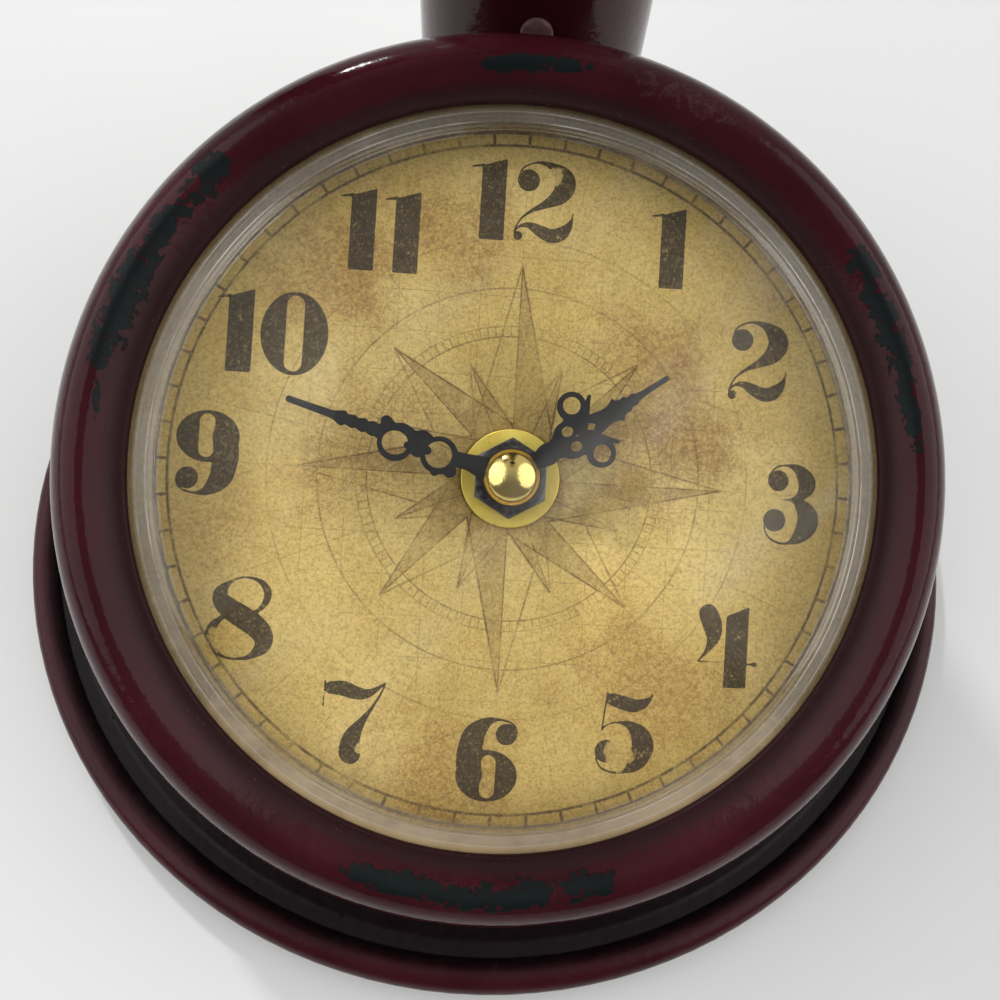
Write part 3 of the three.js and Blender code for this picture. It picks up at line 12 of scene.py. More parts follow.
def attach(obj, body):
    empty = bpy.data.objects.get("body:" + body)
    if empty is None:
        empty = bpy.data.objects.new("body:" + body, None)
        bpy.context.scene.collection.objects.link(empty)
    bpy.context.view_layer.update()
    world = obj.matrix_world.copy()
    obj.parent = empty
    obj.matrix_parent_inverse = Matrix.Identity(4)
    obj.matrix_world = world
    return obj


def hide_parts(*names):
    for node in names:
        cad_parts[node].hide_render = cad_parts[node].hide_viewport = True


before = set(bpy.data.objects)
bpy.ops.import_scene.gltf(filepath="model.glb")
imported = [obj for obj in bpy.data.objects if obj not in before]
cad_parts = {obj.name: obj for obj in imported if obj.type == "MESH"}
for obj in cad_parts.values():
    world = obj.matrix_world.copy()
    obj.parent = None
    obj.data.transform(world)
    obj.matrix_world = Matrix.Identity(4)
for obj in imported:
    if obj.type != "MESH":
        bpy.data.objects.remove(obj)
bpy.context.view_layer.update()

MM = 0.001
MICRON = 1e-6
RIM_STEPS = 192
ROUND_STEPS = 128
MIDDLE_STEPS = 96
SMALL_STEPS = 64
BORE_STEPS = 48
SCREW_STEPS = 32
ROD_STEPS = 32
SMOOTH_ANGLE = math.radians(38)

# Places and sizes of the CAD model, in millimetres
CLOCK_MIDDLE = Vector((0, -22.504946, 55))
DIAL_TILT = math.radians(25)
COLUMN_Y = 75.4
PIVOT_HEIGHT = 262
CUP_HEIGHT = 282
RECEIVER = Vector((-66, 68, 205))
SERVICE_BEHIND = 8.5
SERVICE_Y = CLOCK_MIDDLE.y + SERVICE_BEHIND
CASE_Y = -16.546

CLOCK_SEAT = Matrix.Translation(CLOCK_MIDDLE) @ Matrix.Rotation(DIAL_TILT, 4, "X")
COLUMN_SEAT = Matrix.Translation((0, COLUMN_Y, 0))
CUP_SEAT = Matrix.Translation((0, COLUMN_Y, CUP_HEIGHT)) @ Matrix.Rotation(math.pi / 2, 4, "X")
PIVOT_SEAT = Matrix.Translation((0, COLUMN_Y, PIVOT_HEIGHT)) @ Matrix.Rotation(math.pi / 2, 4, "Y")
RECEIVER_SEAT = Matrix.Translation(RECEIVER)
HERE = Matrix.Identity(4)


def placed(name, data):
    """A new object in the scene."""
    made = bpy.data.objects.new(name, data)
    bpy.context.scene.collection.objects.link(made)
    return made


# Camera: pixels, angles below level, of lean and of turn, and its place in millimetres

IMAGE_WIDTH = 1000
FOCAL_PIXELS = 820.384
LOOK_DOWN, LOOK_LEAN, LOOK_TURN = (math.radians(a) for a in (63.889, 10.396, 7.742))
CAMERA_PLACE = Vector((-4.628, -81.072, 171.411))
CAMERA_SHIFT = (-0.031425, -0.010529)
SENSOR_WIDTH = 36


def place_camera():
    """Looks down on the dial from in front and above, as the photograph does."""
    level = Vector((math.cos(LOOK_TURN), -math.sin(LOOK_TURN), 0))
    forward = Vector((math.sin(LOOK_TURN), math.cos(LOOK_TURN), 0))
    ahead = forward * math.cos(LOOK_DOWN) - Vector((0, 0, math.sin(LOOK_DOWN)))
    above = level.cross(ahead)
    across = level * math.cos(LOOK_LEAN) + above * math.sin(LOOK_LEAN)
    upward = above * math.cos(LOOK_LEAN) - level * math.sin(LOOK_LEAN)
    lens = bpy.data.cameras.new("dial_camera")
    lens.sensor_width = SENSOR_WIDTH
    lens.lens = FOCAL_PIXELS / IMAGE_WIDTH * SENSOR_WIDTH
    lens.shift_x, lens.shift_y = CAMERA_SHIFT
    lens.clip_start = 0.01
    camera = placed("dial_camera", lens)
    turned = Matrix((across, upward, -ahead)).transposed().to_4x4()
    camera.matrix_world = Matrix.Translation(CAMERA_PLACE * MM) @ turned
    bpy.context.scene.camera = camera


place_camera()


# Shapes

MERGE_REACH = 1e-4
SLIVER = 1e-5
TINY = 1e-6
BOX_FACES = [(0, 3, 2, 1), (4, 5, 6, 7), (0, 1, 5, 4), (1, 2, 6, 5), (2, 3, 7, 6), (3, 0, 4, 7)]


def piece_of(name, corners, faces, seat=HERE, edge=None):
    """A mesh object from corners in millimetres, put in its place, with outward faces."""
    mesh = bpy.data.meshes.new(name)
    mesh.from_pydata([tuple(c) for c in corners], [], [tuple(f) for f in faces])
    if edge is not None:
        share = mesh.attributes.new("edge", "FLOAT", "POINT")
        share.data.foreach_set("value", np.asarray(edge, np.float32))
    form = bmesh.new()
    form.from_mesh(mesh)
    bmesh.ops.remove_doubles(form, verts=form.verts, dist=MERGE_REACH)
    bmesh.ops.dissolve_degenerate(form, edges=form.edges, dist=SLIVER)
    return settled(name, mesh, form, seat)


def settled(name, mesh, form, seat):
    """Turns a form's faces outwards, writes it to its mesh in its place and shades it smooth."""
    bmesh.ops.recalc_face_normals(form, faces=form.faces)
    form.to_mesh(mesh)
    form.free()
    mesh.transform(Matrix.Scale(MM, 4) @ seat)
    smoothed(mesh)
    return placed(name, mesh)


def smoothed(mesh):
    """Smooth shading with crisp edges."""
    mesh.polygons.foreach_set("use_smooth", [True] * len(mesh.polygons))
    mesh.set_sharp_from_angle(angle=SMOOTH_ANGLE)
    mesh.update()


# Share of edge at a corner that isn't rounded, and limits of a rounding in shares of its sides
PLAIN_CORNER = 0.3
MOST_REACH = 0.48
GUARD_SHARE = 0.35


def softened(corners, steps=5):
    """Rounds the corners (radius, height, rounding) of a profile. Gives points and shares of edge."""
    points, edge = [], []
    count = len(corners)
    for i, corner in enumerate(corners):
        here = Vector(corner[:2])
        rounding = corner[2] if len(corner) > 2 else 0
        before = Vector(corners[i - 1][:2]) - here
        after = Vector(corners[(i + 1) % count][:2]) - here
        if not rounding or min(before.length, after.length) < TINY:
            points.append(tuple(here))
            edge.append(PLAIN_CORNER)
            continue
        before_way, after_way = before.normalized(), after.normalized()
        half = before_way.angle(after_way) / 2
        reach = min(rounding / math.tan(half), before.length * MOST_REACH, after.length * MOST_REACH)
        radius = reach * math.tan(half)
        middle = here + (before_way + after_way).normalized() * radius / math.sin(half)
        start, end = here + before_way * reach - middle, here + after_way * reach - middle
        guard = reach * GUARD_SHARE
        if before.length > reach + 2 * guard:
            points.append(tuple(here + before_way * (reach + guard)))
            edge.append(0.0)
        sweep = start.angle_signed(end) if start.length > TINY else 0
        for k in range(steps + 1):
            share = k / steps
            turn = Matrix.Rotation(-sweep * share, 2)
            points.append(tuple(middle + turn @ start))
            edge.append(math.sin(math.pi * (0.15 + 0.7 * share)))
        if after.length > reach + 2 * guard:
            points.append(tuple(here + after_way * (reach + guard)))
            edge.append(0.0)
    return points, edge


def arc(r, z, width, height, start, end, steps):
    """Points of an ellipse's arc in a profile, angles in degrees."""
    angles = np.radians(np.linspace(start, end, steps + 1))
    return [(r + width * math.cos(a), z + height * math.sin(a)) for a in angles]


def circle(radius, height, steps=ROUND_STEPS, y=0.0):
    """Points of a level circle about an upright axis on the middle plane."""
    angles = np.arange(steps) * 2 * math.pi / steps
    level = np.full(steps, float(height))
    return np.stack([radius * np.cos(angles), y + radius * np.sin(angles), level], -1)


def lofted(name, rings, seat, edge, closed=True):
    """A skin over rings of the same number of points. Closed ones join the last ring to the first."""
    steps = len(rings[0])
    corners = np.vstack(rings)
    last = len(rings) if closed else len(rings) - 1
    faces = []
    for j in range(last):
        low, high = j * steps, (j + 1) % len(rings) * steps
        for i in range(steps):
            k = (i + 1) % steps
            faces.append((low + i, low + k, high + k, high + i))
    return piece_of(name, corners, faces, seat, np.repeat(edge, steps))


def spun(name, corners, seat=HERE, steps=ROUND_STEPS, rounding_steps=5):
    """A profile of (radius, height, rounding) corners turned round the seat's axis."""
    points, edge = softened(corners, rounding_steps)
    on_axis = max(points[0][0], points[-1][0]) < TINY
    rings = [circle(max(r, 0), z, steps) for r, z in points]
    return lofted(name, rings, seat, edge, closed=not on_axis)


def boolean(first, other, operation):
    """Adds another solid piece to a piece, or cuts it out."""
    made = first.modifiers.new(operation.lower(), "BOOLEAN")
    made.operation = operation
    made.solver = "EXACT"
    made.object = other


def fused(name, pieces):
    """Joins solid pieces into one skin."""
    for other in pieces[1:]:
        boolean(pieces[0], other, "UNION")
    return kept_shape(name, pieces[0], pieces)


def cut_from(name, first, tool):
    """Cuts one solid piece out of another."""
    boolean(first, tool, "DIFFERENCE")
    return kept_shape(name, first, [first, tool])


def kept_shape(name, shaped, spent, seat=None):
    """Turns a piece with its modifiers into a plain mesh and clears what it was made from."""
    view = bpy.context.evaluated_depsgraph_get()
    mesh = bpy.data.meshes.new_from_object(shaped.evaluated_get(view))
    mesh.name = name
    for old in spent:
        bpy.data.objects.remove(old)
    if seat is not None:
        mesh.transform(Matrix.Scale(MM, 4) @ seat)
    smoothed(mesh)
    return placed(name, mesh)


# Flat shapes, drawn as fields that are negative inside

def discs_field(x, y, discs):
    """Distance to the nearest of several discs."""
    field = np.full(np.shape(x), 1e9)
    for cx, cy, r in discs:
        field = np.minimum(field, np.hypot(x - cx, y - cy) - r)
    return field


def polygon_field(x, y, corners):
    """Distance to the outline of a polygon."""
    inside = np.zeros(np.shape(x), bool)
    nearest = np.full(np.shape(x), 1e9)
    for (ax, ay), (bx, by) in zip(corners, corners[1:] + corners[:1]):
        dx, dy = bx - ax, by - ay
        along = np.clip(((x - ax) * dx + (y - ay) * dy) / (dx * dx + dy * dy), 0, 1)
        nearest = np.minimum(nearest, np.hypot(x - ax - along * dx, y - ay - along * dy))
        if dy:
            inside ^= ((ay > y) != (by > y)) & (x < (y - ay) * dx / dy + ax)
    return np.where(inside, -nearest, nearest)


def stroke(points, steps=12, thinnest=0.008):
    """Discs along a smooth line through points (x, y, half width). One point is a ball."""
    if len(points) == 1:
        return points
    p = np.array([points[0], *points, points[-1]], float)
    t = np.linspace(0, 1, steps, endpoint=False)[:, None]
    spans = [
        0.5 * (2 * b + (c - a) * t
               + (2 * a - 5 * b + 4 * c - d) * t**2
               + (3 * b - a - 3 * c + d) * t**3)
        for a, b, c, d in zip(p, p[1:], p[2:], p[3:])
    ]
    discs = np.vstack([*spans, p[-1:]])
    discs[:, 2] = np.maximum(discs[:, 2], thinnest)
    return discs


FEWEST_POINTS = 6


def outlines(field, box, step):
    """Closed lines where a field crosses zero."""
    xs = np.arange(box[0], box[2] + step, step)
    ys = np.arange(box[1], box[3] + step, step)
    x, y = np.meshgrid(xs, ys)
    f = field(x, y)
    inside = f < 0
    found, joins = {}, {}

    def crossing(kind, j, i):
        key = (kind, j, i)
        if key not in found:
            e, g = (j, i + 1) if kind == "h" else (j + 1, i)
            share = f[j, i] / (f[j, i] - f[e, g])
            found[key] = (
                x[j, i] + share * (x[e, g] - x[j, i]),
                y[j, i] + share * (y[e, g] - y[j, i]),
            )
        return key

    total = inside[:-1, :-1].astype(int) + inside[1:, :-1] + inside[:-1, 1:] + inside[1:, 1:]
    for j, i in zip(*np.nonzero((total > 0) & (total < 4))):
        sides = []
        if inside[j, i] != inside[j, i + 1]:
            sides.append(crossing("h", j, i))
        if inside[j, i + 1] != inside[j + 1, i + 1]:
            sides.append(crossing("v", j, i + 1))
        if inside[j + 1, i] != inside[j + 1, i + 1]:
            sides.append(crossing("h", j + 1, i))
        if inside[j, i] != inside[j + 1, i]:
            sides.append(crossing("v", j, i))
        pairs = [(0, 1)] if len(sides) == 2 else [(0, 1), (2, 3)]
        for a, b in pairs:
            joins.setdefault(sides[a], []).append(sides[b])
            joins.setdefault(sides[b], []).append(sides[a])
    loops = []
    while joins:
        start = next(iter(joins))
        loop, here, last = [], start, None
        while here in joins:
            loop.append(found[here])
            ways = joins.pop(here)
            onward = [w for w in ways if w != last and w in joins]
            if not onward:
                break
            last, here = here, onward[0]
        if len(loop) > FEWEST_POINTS:
            loops.append(np.array(loop))
    return loops


def evened(loop, spacing):
    """Points at an even spacing along a closed line, smoothed once."""
    ring = np.vstack([loop, loop[:1]])
    lengths = np.hypot(*np.diff(ring, axis=0).T)
    along = np.concatenate([[0], np.cumsum(lengths)])
    count = max(8, int(along[-1] / spacing))
    at = np.arange(count) * along[-1] / count
    even = np.stack([np.interp(at, along, ring[:, k]) for k in (0, 1)], -1)
    return 0.5 * even + 0.25 * (np.roll(even, 1, 0) + np.roll(even, -1, 0))


def within(points, loops):
    """Whether each point lies inside closed lines, counted as odd and even."""
    inside = np.zeros(len(points), bool)
    x, y = points.T
    for loop in loops:
        for (ax, ay), (bx, by) in zip(loop, np.roll(loop, -1, 0)):
            if ay != by:
                crosses = (ay > y) != (by > y)
                inside ^= crosses & (x < (y - ay) * (bx - ax) / (by - ay) + ax)
    return inside


def filled(loops):
    """Triangles between closed lines: points, triangles and the middle of each triangle."""
    points = [Vector(p) for loop in loops for p in loop]
    lines, first = [], 0
    for loop in loops:
        n = len(loop)
        lines += [(first + i, first + (i + 1) % n) for i in range(n)]
        first += n
    corners, _, faces, _, _, _ = delaunay_2d_cdt(points, lines, [], 0, 1e-7)
    corners = np.array([tuple(c) for c in corners])
    faces = np.array([f for f in faces if len(f) == 3])
    return corners, faces, corners[faces].mean(1)


UNTANGLE_ROUNDS = 60


def untangled(outer, inner):
    """Gathers the points of an inner line that run back against the outer one."""
    for _ in range(UNTANGLE_ROUNDS):
        ahead = ((np.roll(outer, -1, 0) - outer) * (np.roll(inner, -1, 0) - inner)).sum(1)
        back = np.nonzero(ahead < 0)[0]
        if not len(back):
            break
        for i in back:
            k = (i + 1) % len(inner)
            inner[i] = inner[k] = (inner[i] + inner[k]) / 2
    return inner


def plate(name, field, box, step, low, high, bevel, seat=HERE):
    """A flat shape given thickness, its edges eased top and bottom."""
    outer = [evened(loop, step * 1.5) for loop in outlines(field, box, step)]
    inner = []
    h = step * 0.5
    for loop in outer:
        x, y = loop.T
        slope = np.stack(
            [field(x + h, y) - field(x - h, y), field(x, y + h) - field(x, y - h)], -1
        )
        slope /= np.maximum(np.hypot(*slope.T)[:, None], 1e-9)
        inner.append(untangled(loop, loop - slope * bevel))
    flat, faces, middles = filled(inner)
    faces = faces[within(middles, inner)]
    count = sum(len(loop) for loop in outer)
    tiers = [(inner, low), (outer, low + bevel), (outer, high - bevel), (inner, high)]
    corners = [np.column_stack([np.vstack(ls), np.full(count, z)]) for ls, z in tiers]
    corners += [np.column_stack([flat, np.full(len(flat), z)]) for z in (low, high)]
    corners = np.vstack(corners)
    edge = np.concatenate([np.repeat([0.6, 1, 1, 0.6], count), np.full(2 * len(flat), PLAIN_CORNER)])
    below = len(tiers) * count
    skin = [tuple(f + shift) for shift in (below, below + len(flat)) for f in faces]
    first = 0
    for loop in outer:
        n = len(loop)
        for t in range(len(tiers) - 1):
            for i in range(n):
                k = (i + 1) % n
                a, b = first + t * count, first + (t + 1) * count
                skin.append((a + i, a + k, b + k, b + i))
        first += n
    return piece_of(name, corners, skin, seat, edge)


# Node helpers

class Wiring:
    """Adds and joins nodes in one tree."""

    def __init__(self, tree):
        self.tree = tree

    def join(self, socket, value):
        """Links another node to a socket, or sets a plain value."""
        if isinstance(value, bpy.types.NodeSocket):
            self.tree.links.new(value, socket)
        else:
            socket.default_value = value

    def put(self, kind, sockets=None, **settings):
        """A new node with its settings and inputs."""
        made = self.tree.nodes.new(kind)
        for key, value in settings.items():
            setattr(made, key, value)
        for key, value in (sockets or {}).items():
            self.join(made.inputs[key], value)
        return made

    def math(self, operation, *values):
        """One step of arithmetic."""
        made = self.put("ShaderNodeMath", operation=operation)
        for socket, value in zip(made.inputs, values):
            self.join(socket, value)
        return made.outputs[0]

    def plus(self, *values):
        return reduce(lambda a, b: self.math("ADD", a, b), values)

    def minus(self, a, b):
        return self.math("SUBTRACT", a, b)

    def times(self, *values):
        return reduce(lambda a, b: self.math("MULTIPLY", a, b), values)

    def over(self, a, b):
        return self.math("DIVIDE", a, b)

    def most(self, *values):
        """The largest of several values."""
        return reduce(lambda a, b: self.math("MAXIMUM", a, b), values)

    def least(self, a, b):
        """The smaller of two values."""
        return self.math("MINIMUM", a, b)

    def size(self, a):
        """A value without its sign."""
        return self.math("ABSOLUTE", a)

    def wrap(self, value, half):
        """A value brought back between minus half and half."""
        back = self.times(half, -1) if isinstance(half, bpy.types.NodeSocket) else -half
        return self.math("WRAP", value, half, back)

    def line(self, off, half_width):
        """A soft-edged line from the distance to its middle."""
        return self.ramp(off, self.times(half_width, 0.6), self.times(half_width, 1.4), 1.0, 0.0)

    def vector(self, operation, *values, out=0):
        """One step of arithmetic on vectors."""
        made = self.put("ShaderNodeVectorMath", operation=operation)
        for socket, value in zip(made.inputs, values):
            self.join(socket, value)
        return made.outputs[out]

    def ramp(self, value, low, high, to_low=0.0, to_high=1.0):
        """A smooth step from one range to another."""
        made = self.put("ShaderNodeMapRange", interpolation_type="SMOOTHSTEP")
        for socket, given in zip(made.inputs, (value, low, high, to_low, to_high)):
            self.join(socket, given)
        return made.outputs[0]

    def blend(self, share, a, b):
        """A share of a second colour over a first one."""
        made = self.put("ShaderNodeMix", data_type="RGBA")
        for index, value in ((0, share), (6, a), (7, b)):
            if isinstance(value, tuple) and len(value) == 3:
                value = (*value, 1)
            self.join(made.inputs[index], value)
        return made.outputs[2]

    def noise(self, vector, scale, detail=3, roughness=0.55, distortion=0.0):
        """Cloudy values between 0 and 1."""
        made = self.put("ShaderNodeTexNoise", {"Vector": vector, "Scale": scale, "Detail": detail,
                                               "Roughness": roughness, "Distortion": distortion})
        return made.outputs["Fac"]

    def use(self, group, **sockets):
        """An effect with its named inputs set. Gives its one output, or all of them."""
        made = self.put("ShaderNodeGroup", node_tree=group)
        for key, value in sockets.items():
            self.join(made.inputs[key.replace("_", " ")], value)
        return made.outputs if len(made.outputs) > 1 else made.outputs[0]

    def attribute(self, name):
        """A value that the mesh carries."""
        return self.put("ShaderNodeAttribute", attribute_name=name).outputs["Fac"]

    def parts(self, vector):
        """The x, y and z of a vector."""
        return self.put("ShaderNodeSeparateXYZ", {0: vector}).outputs

    def spot(self, x=0.0, y=0.0, z=0.0):
        """A vector from its x, y and z."""
        return self.put("ShaderNodeCombineXYZ", {0: x, 1: y, 2: z}).outputs[0]

    def turned(self, vector, angle):
        """A vector turned about the upright axis."""
        return self.put("ShaderNodeVectorRotate", {"Vector": vector, "Angle": angle},
                        rotation_type="Z_AXIS").outputs[0]

    def radius(self, vector):
        """Distance from the upright axis."""
        x, y, _ = self.parts(vector)
        return self.math("SQRT", self.plus(self.times(x, x), self.times(y, y)))

    def polar(self, vector):
        """Angle in degrees clockwise from twelve, and radius."""
        x, y, _ = self.parts(vector)
        return self.math("DEGREES", self.math("ARCTAN2", x, y)), self.radius(vector)

    def place(self, seat=HERE):
        """Millimetres in a piece's own frame, from Object coordinates."""
        back = seat.inverted()
        where = self.put("ShaderNodeTexCoord").outputs["Object"]
        made = self.put("ShaderNodeMapping", {"Vector": where}, vector_type="POINT")
        made.inputs["Location"].default_value = back.to_translation()
        made.inputs["Rotation"].default_value = back.to_euler()
        made.inputs["Scale"].default_value = (1 / MM,) * 3
        return made.outputs[0]


def effect(name, outputs, **inputs):
    """A shader node group with named value outputs. An input that starts as None is a vector."""
    tree = bpy.data.node_groups.new(name, "ShaderNodeTree")
    for label, start in inputs.items():
        kind = "NodeSocketVector" if start is None else "NodeSocketFloat"
        socket = tree.interface.new_socket(label.replace("_", " "), in_out="INPUT", socket_type=kind)
        if start is not None:
            socket.default_value = start
    for label in outputs:
        tree.interface.new_socket(label, in_out="OUTPUT", socket_type="NodeSocketFloat")
    wiring = Wiring(tree)
    given = wiring.put("NodeGroupInput").outputs
    result = wiring.put("NodeGroupOutput").inputs
    return tree, wiring, given, result


def finish(name, **surface):
    """A material with its shader, ready for nodes. Plain values go straight on the shader."""
    material = bpy.data.materials.new(name)
    material.use_nodes = True
    tree = material.node_tree
    shader = next(n for n in tree.nodes if n.type == "BSDF_PRINCIPLED")
    for key, value in surface.items():
        shader.inputs[key.replace("_", " ")].default_value = value
    return material, Wiring(tree), shader


# Repeated pieces and paths, as Geometry Nodes

SOCKETS = {"shape": "NodeSocketGeometry", "piece": "NodeSocketObject", "count": "NodeSocketInt",
           "length": "NodeSocketFloat", "finish": "NodeSocketMaterial"}


def grower(name, **inputs):
    """An empty Geometry Nodes tree with named inputs. Gives the tree, its wiring and its inputs."""
    tree = bpy.data.node_groups.new(name, "GeometryNodeTree")
    tree.interface.new_socket("Shape", in_out="INPUT", socket_type=SOCKETS["shape"])
    for label, kind in inputs.items():
        tree.interface.new_socket(label.replace("_", " "), in_out="INPUT", socket_type=SOCKETS[kind])
    tree.interface.new_socket("Shape", in_out="OUTPUT", socket_type=SOCKETS["shape"])
    wiring = Wiring(tree)
    return tree, wiring, wiring.put("NodeGroupInput").outputs


def finish_off(w, shape, material):
    """Realize Instances and Set Material at the end of a tree."""
    whole = w.put("GeometryNodeRealizeInstances", {"Geometry": shape}).outputs[0]
    dressed = w.put("GeometryNodeSetMaterial", {"Geometry": whole, "Material": material}).outputs[0]
    w.put("NodeGroupOutput", {"Shape": dressed})


def copied(w, points, piece, angle):
    """A piece on each point, turned by an angle about the upright axis."""
    turn = w.put("FunctionNodeEulerToRotation", {0: w.spot(z=angle)}).outputs[0]
    return w.put("GeometryNodeInstanceOnPoints",
                 {"Points": points, "Instance": piece, "Rotation": turn}).outputs[0]


def moved_line(w, count, spot):
    """A line of points, each moved to its own spot."""
    line = w.put("GeometryNodeMeshLine", {"Count": count, "Offset": (0, 0, 0)}).outputs[0]
    return w.put("GeometryNodeSetPosition", {"Geometry": line, "Position": spot}).outputs[0]


def pieces_on_points():
    """Copies a piece onto each point, turned by chance about its own axis."""
    tree, w, given = grower("pieces_on_points", Piece="piece", Turn_Seed="count", Finish="finish")
    piece = w.put("GeometryNodeObjectInfo", {"Object": given["Piece"]}).outputs["Geometry"]
    points = w.put("GeometryNodeMeshToPoints", {"Mesh": given["Shape"]}).outputs[0]
    chance = w.put("FunctionNodeRandomValue", {2: 0.0, 3: math.pi, "Seed": given["Turn Seed"]},
                   data_type="FLOAT").outputs[1]
    finish_off(w, copied(w, points, piece, chance), given["Finish"])
    return tree


def ribs_in_a_ring():
    """Straight ribs set round an axis."""
    tree, w, given = grower("ribs_in_a_ring", Count="count", Radius="length", Rib_Depth="length",
                            Rib_Width="length", Rib_Length="length", Finish="finish")
    step = w.over(2 * math.pi, given["Count"])
    angle = w.times(w.put("GeometryNodeInputIndex").outputs[0], step)
    spot = w.spot(w.times(given["Radius"], w.math("COSINE", angle)),
                  w.times(given["Radius"], w.math("SINE", angle)))
    size = w.spot(given["Rib Depth"], given["Rib Width"], given["Rib Length"])
    rib = w.put("GeometryNodeMeshCube", {"Size": size}).outputs[0]
    places = moved_line(w, given["Count"], spot)
    finish_off(w, copied(w, places, rib, angle), given["Finish"])
    return tree


def bent_rod():
    """A round rod along two straight prongs joined by a half circle."""
    tree, w, given = grower("bent_rod", Steps="count", Prong_Length="length", Bend_Radius="length",
                            Rod_Radius="length", Finish="finish")
    index = w.put("GeometryNodeInputIndex").outputs[0]
    bend = w.times(given["Bend Radius"], math.pi)
    whole = w.plus(bend, w.times(given["Prong Length"], 2))
    along = w.times(w.over(index, w.minus(given["Steps"], 1)), whole)
    past = w.minus(along, given["Prong Length"])
    round_part = w.least(w.most(past, 0.0), bend)
    angle = w.minus(w.over(round_part, given["Bend Radius"]), math.pi / 2)
    straight = w.size(w.minus(past, round_part))
    x = w.minus(w.times(given["Bend Radius"], w.math("COSINE", angle)), straight)
    y = w.times(given["Bend Radius"], w.math("SINE", angle))
    path = moved_line(w, given["Steps"], w.spot(x, y))
    curve = w.put("GeometryNodeMeshToCurve", {"Mesh": path}).outputs[0]
    section = w.put("GeometryNodeCurvePrimitiveCircle",
                    {"Resolution": ROD_STEPS, "Radius": given["Rod Radius"]}).outputs[0]
    rod = w.put("GeometryNodeCurveToMesh",
                {"Curve": curve, "Profile Curve": section, "Fill Caps": True}).outputs[0]
    finish_off(w, rod, given["Finish"])
    return tree


def grown(name, tree, seat, points=(), spent=(), **values):
    """Runs a tree on points in millimetres and puts the plain mesh that it makes in its place."""
    mesh = bpy.data.meshes.new(name + "_points")
    mesh.from_pydata(list(points), [], [])
    holder = placed(name + "_points", mesh)
    grow = holder.modifiers.new("grow", "NODES")
    grow.node_group = tree
    for item in tree.interface.items_tree:
        key = item.name.replace(" ", "_")
        if item.in_out == "INPUT" and key in values:
            grow[item.identifier] = values[key]
    return kept_shape(name, holder, [holder, *spent], seat)


PIECES_ON_POINTS = pieces_on_points()
RIBS_IN_A_RING = ribs_in_a_ring()
BENT_ROD = bent_rod()


# Effects that several finishes share

def mottle_effect():
    """Soft patches between a low and a high value."""
    tree, w, given, result = effect("mottle", ["Value"], Vector=None, Scale=0.1, Detail=3.0, Low=0.0,
                                    High=1.0)
    patches = w.noise(given["Vector"], given["Scale"], given["Detail"])
    w.join(result["Value"], w.ramp(patches, 0.32, 0.68, given["Low"], given["High"]))
    return tree


def speck_effect():
    """Scattered round specks."""
    tree, w, given, result = effect("specks", ["Mask"], Vector=None, Scale=0.2, Size=0.05, Amount=0.3)
    cells = w.put("ShaderNodeTexVoronoi", {"Vector": given["Vector"], "Scale": given["Scale"]})
    chance = w.parts(cells.outputs["Color"])
    size = w.times(given["Size"], w.plus(chance[1], 0.25))
    near = w.math("LESS_THAN", cells.outputs["Distance"], size)
    kept = w.math("LESS_THAN", chance[0], given["Amount"])
    w.join(result["Mask"], w.times(near, kept))
    return tree


def scratch_effect():
    """Thin broken lines along a direction."""
    tree, w, given, result = effect("scratches", ["Mask"], Vector=None, Turn=0.0, Scale=1.0, Width=0.02,
                                    Amount=0.5)
    drawn = w.vector("MULTIPLY", w.turned(given["Vector"], given["Turn"]), (0.06, 1.0, 0.4))
    line = w.noise(drawn, given["Scale"], 2, 0.5, 0.3)
    off = w.size(w.minus(line, 0.5))
    thin = w.minus(1.0, w.ramp(off, 0.0, given["Width"]))
    kept = w.ramp(w.noise(given["Vector"], 0.12, 2), w.minus(0.75, given["Amount"]), 0.8)
    w.join(result["Mask"], w.times(thin, kept))
    return tree


def chip_effect():
    """One ragged chip on a ring, long round the ring and narrow across it."""
    tree, w, given, result = effect("paint_chip", ["Mask"], Angle_Here=0.0, Radius_Here=0.0, Ragged=0.5,
                                    Angle=0.0, Half_Length=5.0, Radius=65.0, Half_Width=1.0, Slant=0.0)
    away = w.wrap(w.minus(given["Angle Here"], given["Angle"]), 180)
    along = w.over(away, given["Half Length"])
    middle = w.plus(given["Radius"], w.times(along, given["Slant"]))
    across = w.over(w.minus(given["Radius Here"], middle), given["Half Width"])
    lengthwise = w.math("POWER", w.size(along), 3.0)
    reach = w.plus(lengthwise, w.times(across, across))
    rough = w.times(w.minus(given["Ragged"], 0.5), 10.0)
    w.join(result["Mask"], w.ramp(w.plus(reach, rough), 1.28, 1.36, 1.0, 0.0))
    return tree


def turning_effect():
    """Fine rings left by a lathe, round the axis of the coordinates."""
    tree, w, given, result = effect("turning_rings", ["Value"], Vector=None, Pitch=6.0)
    across = w.spot(x=w.radius(given["Vector"]), z=w.parts(given["Vector"])[2])
    w.join(result["Value"], w.noise(across, given["Pitch"], 2))
    return tree


def ring_effect():
    """A printed ring of a thin line."""
    tree, w, given, result = effect("printed_ring", ["Mask"], Radius_Here=0.0, Radius=10.0,
                                    Half_Width=0.15)
    off = w.size(w.minus(given["Radius Here"], given["Radius"]))
    w.join(result["Mask"], w.line(off, given["Half Width"]))
    return tree


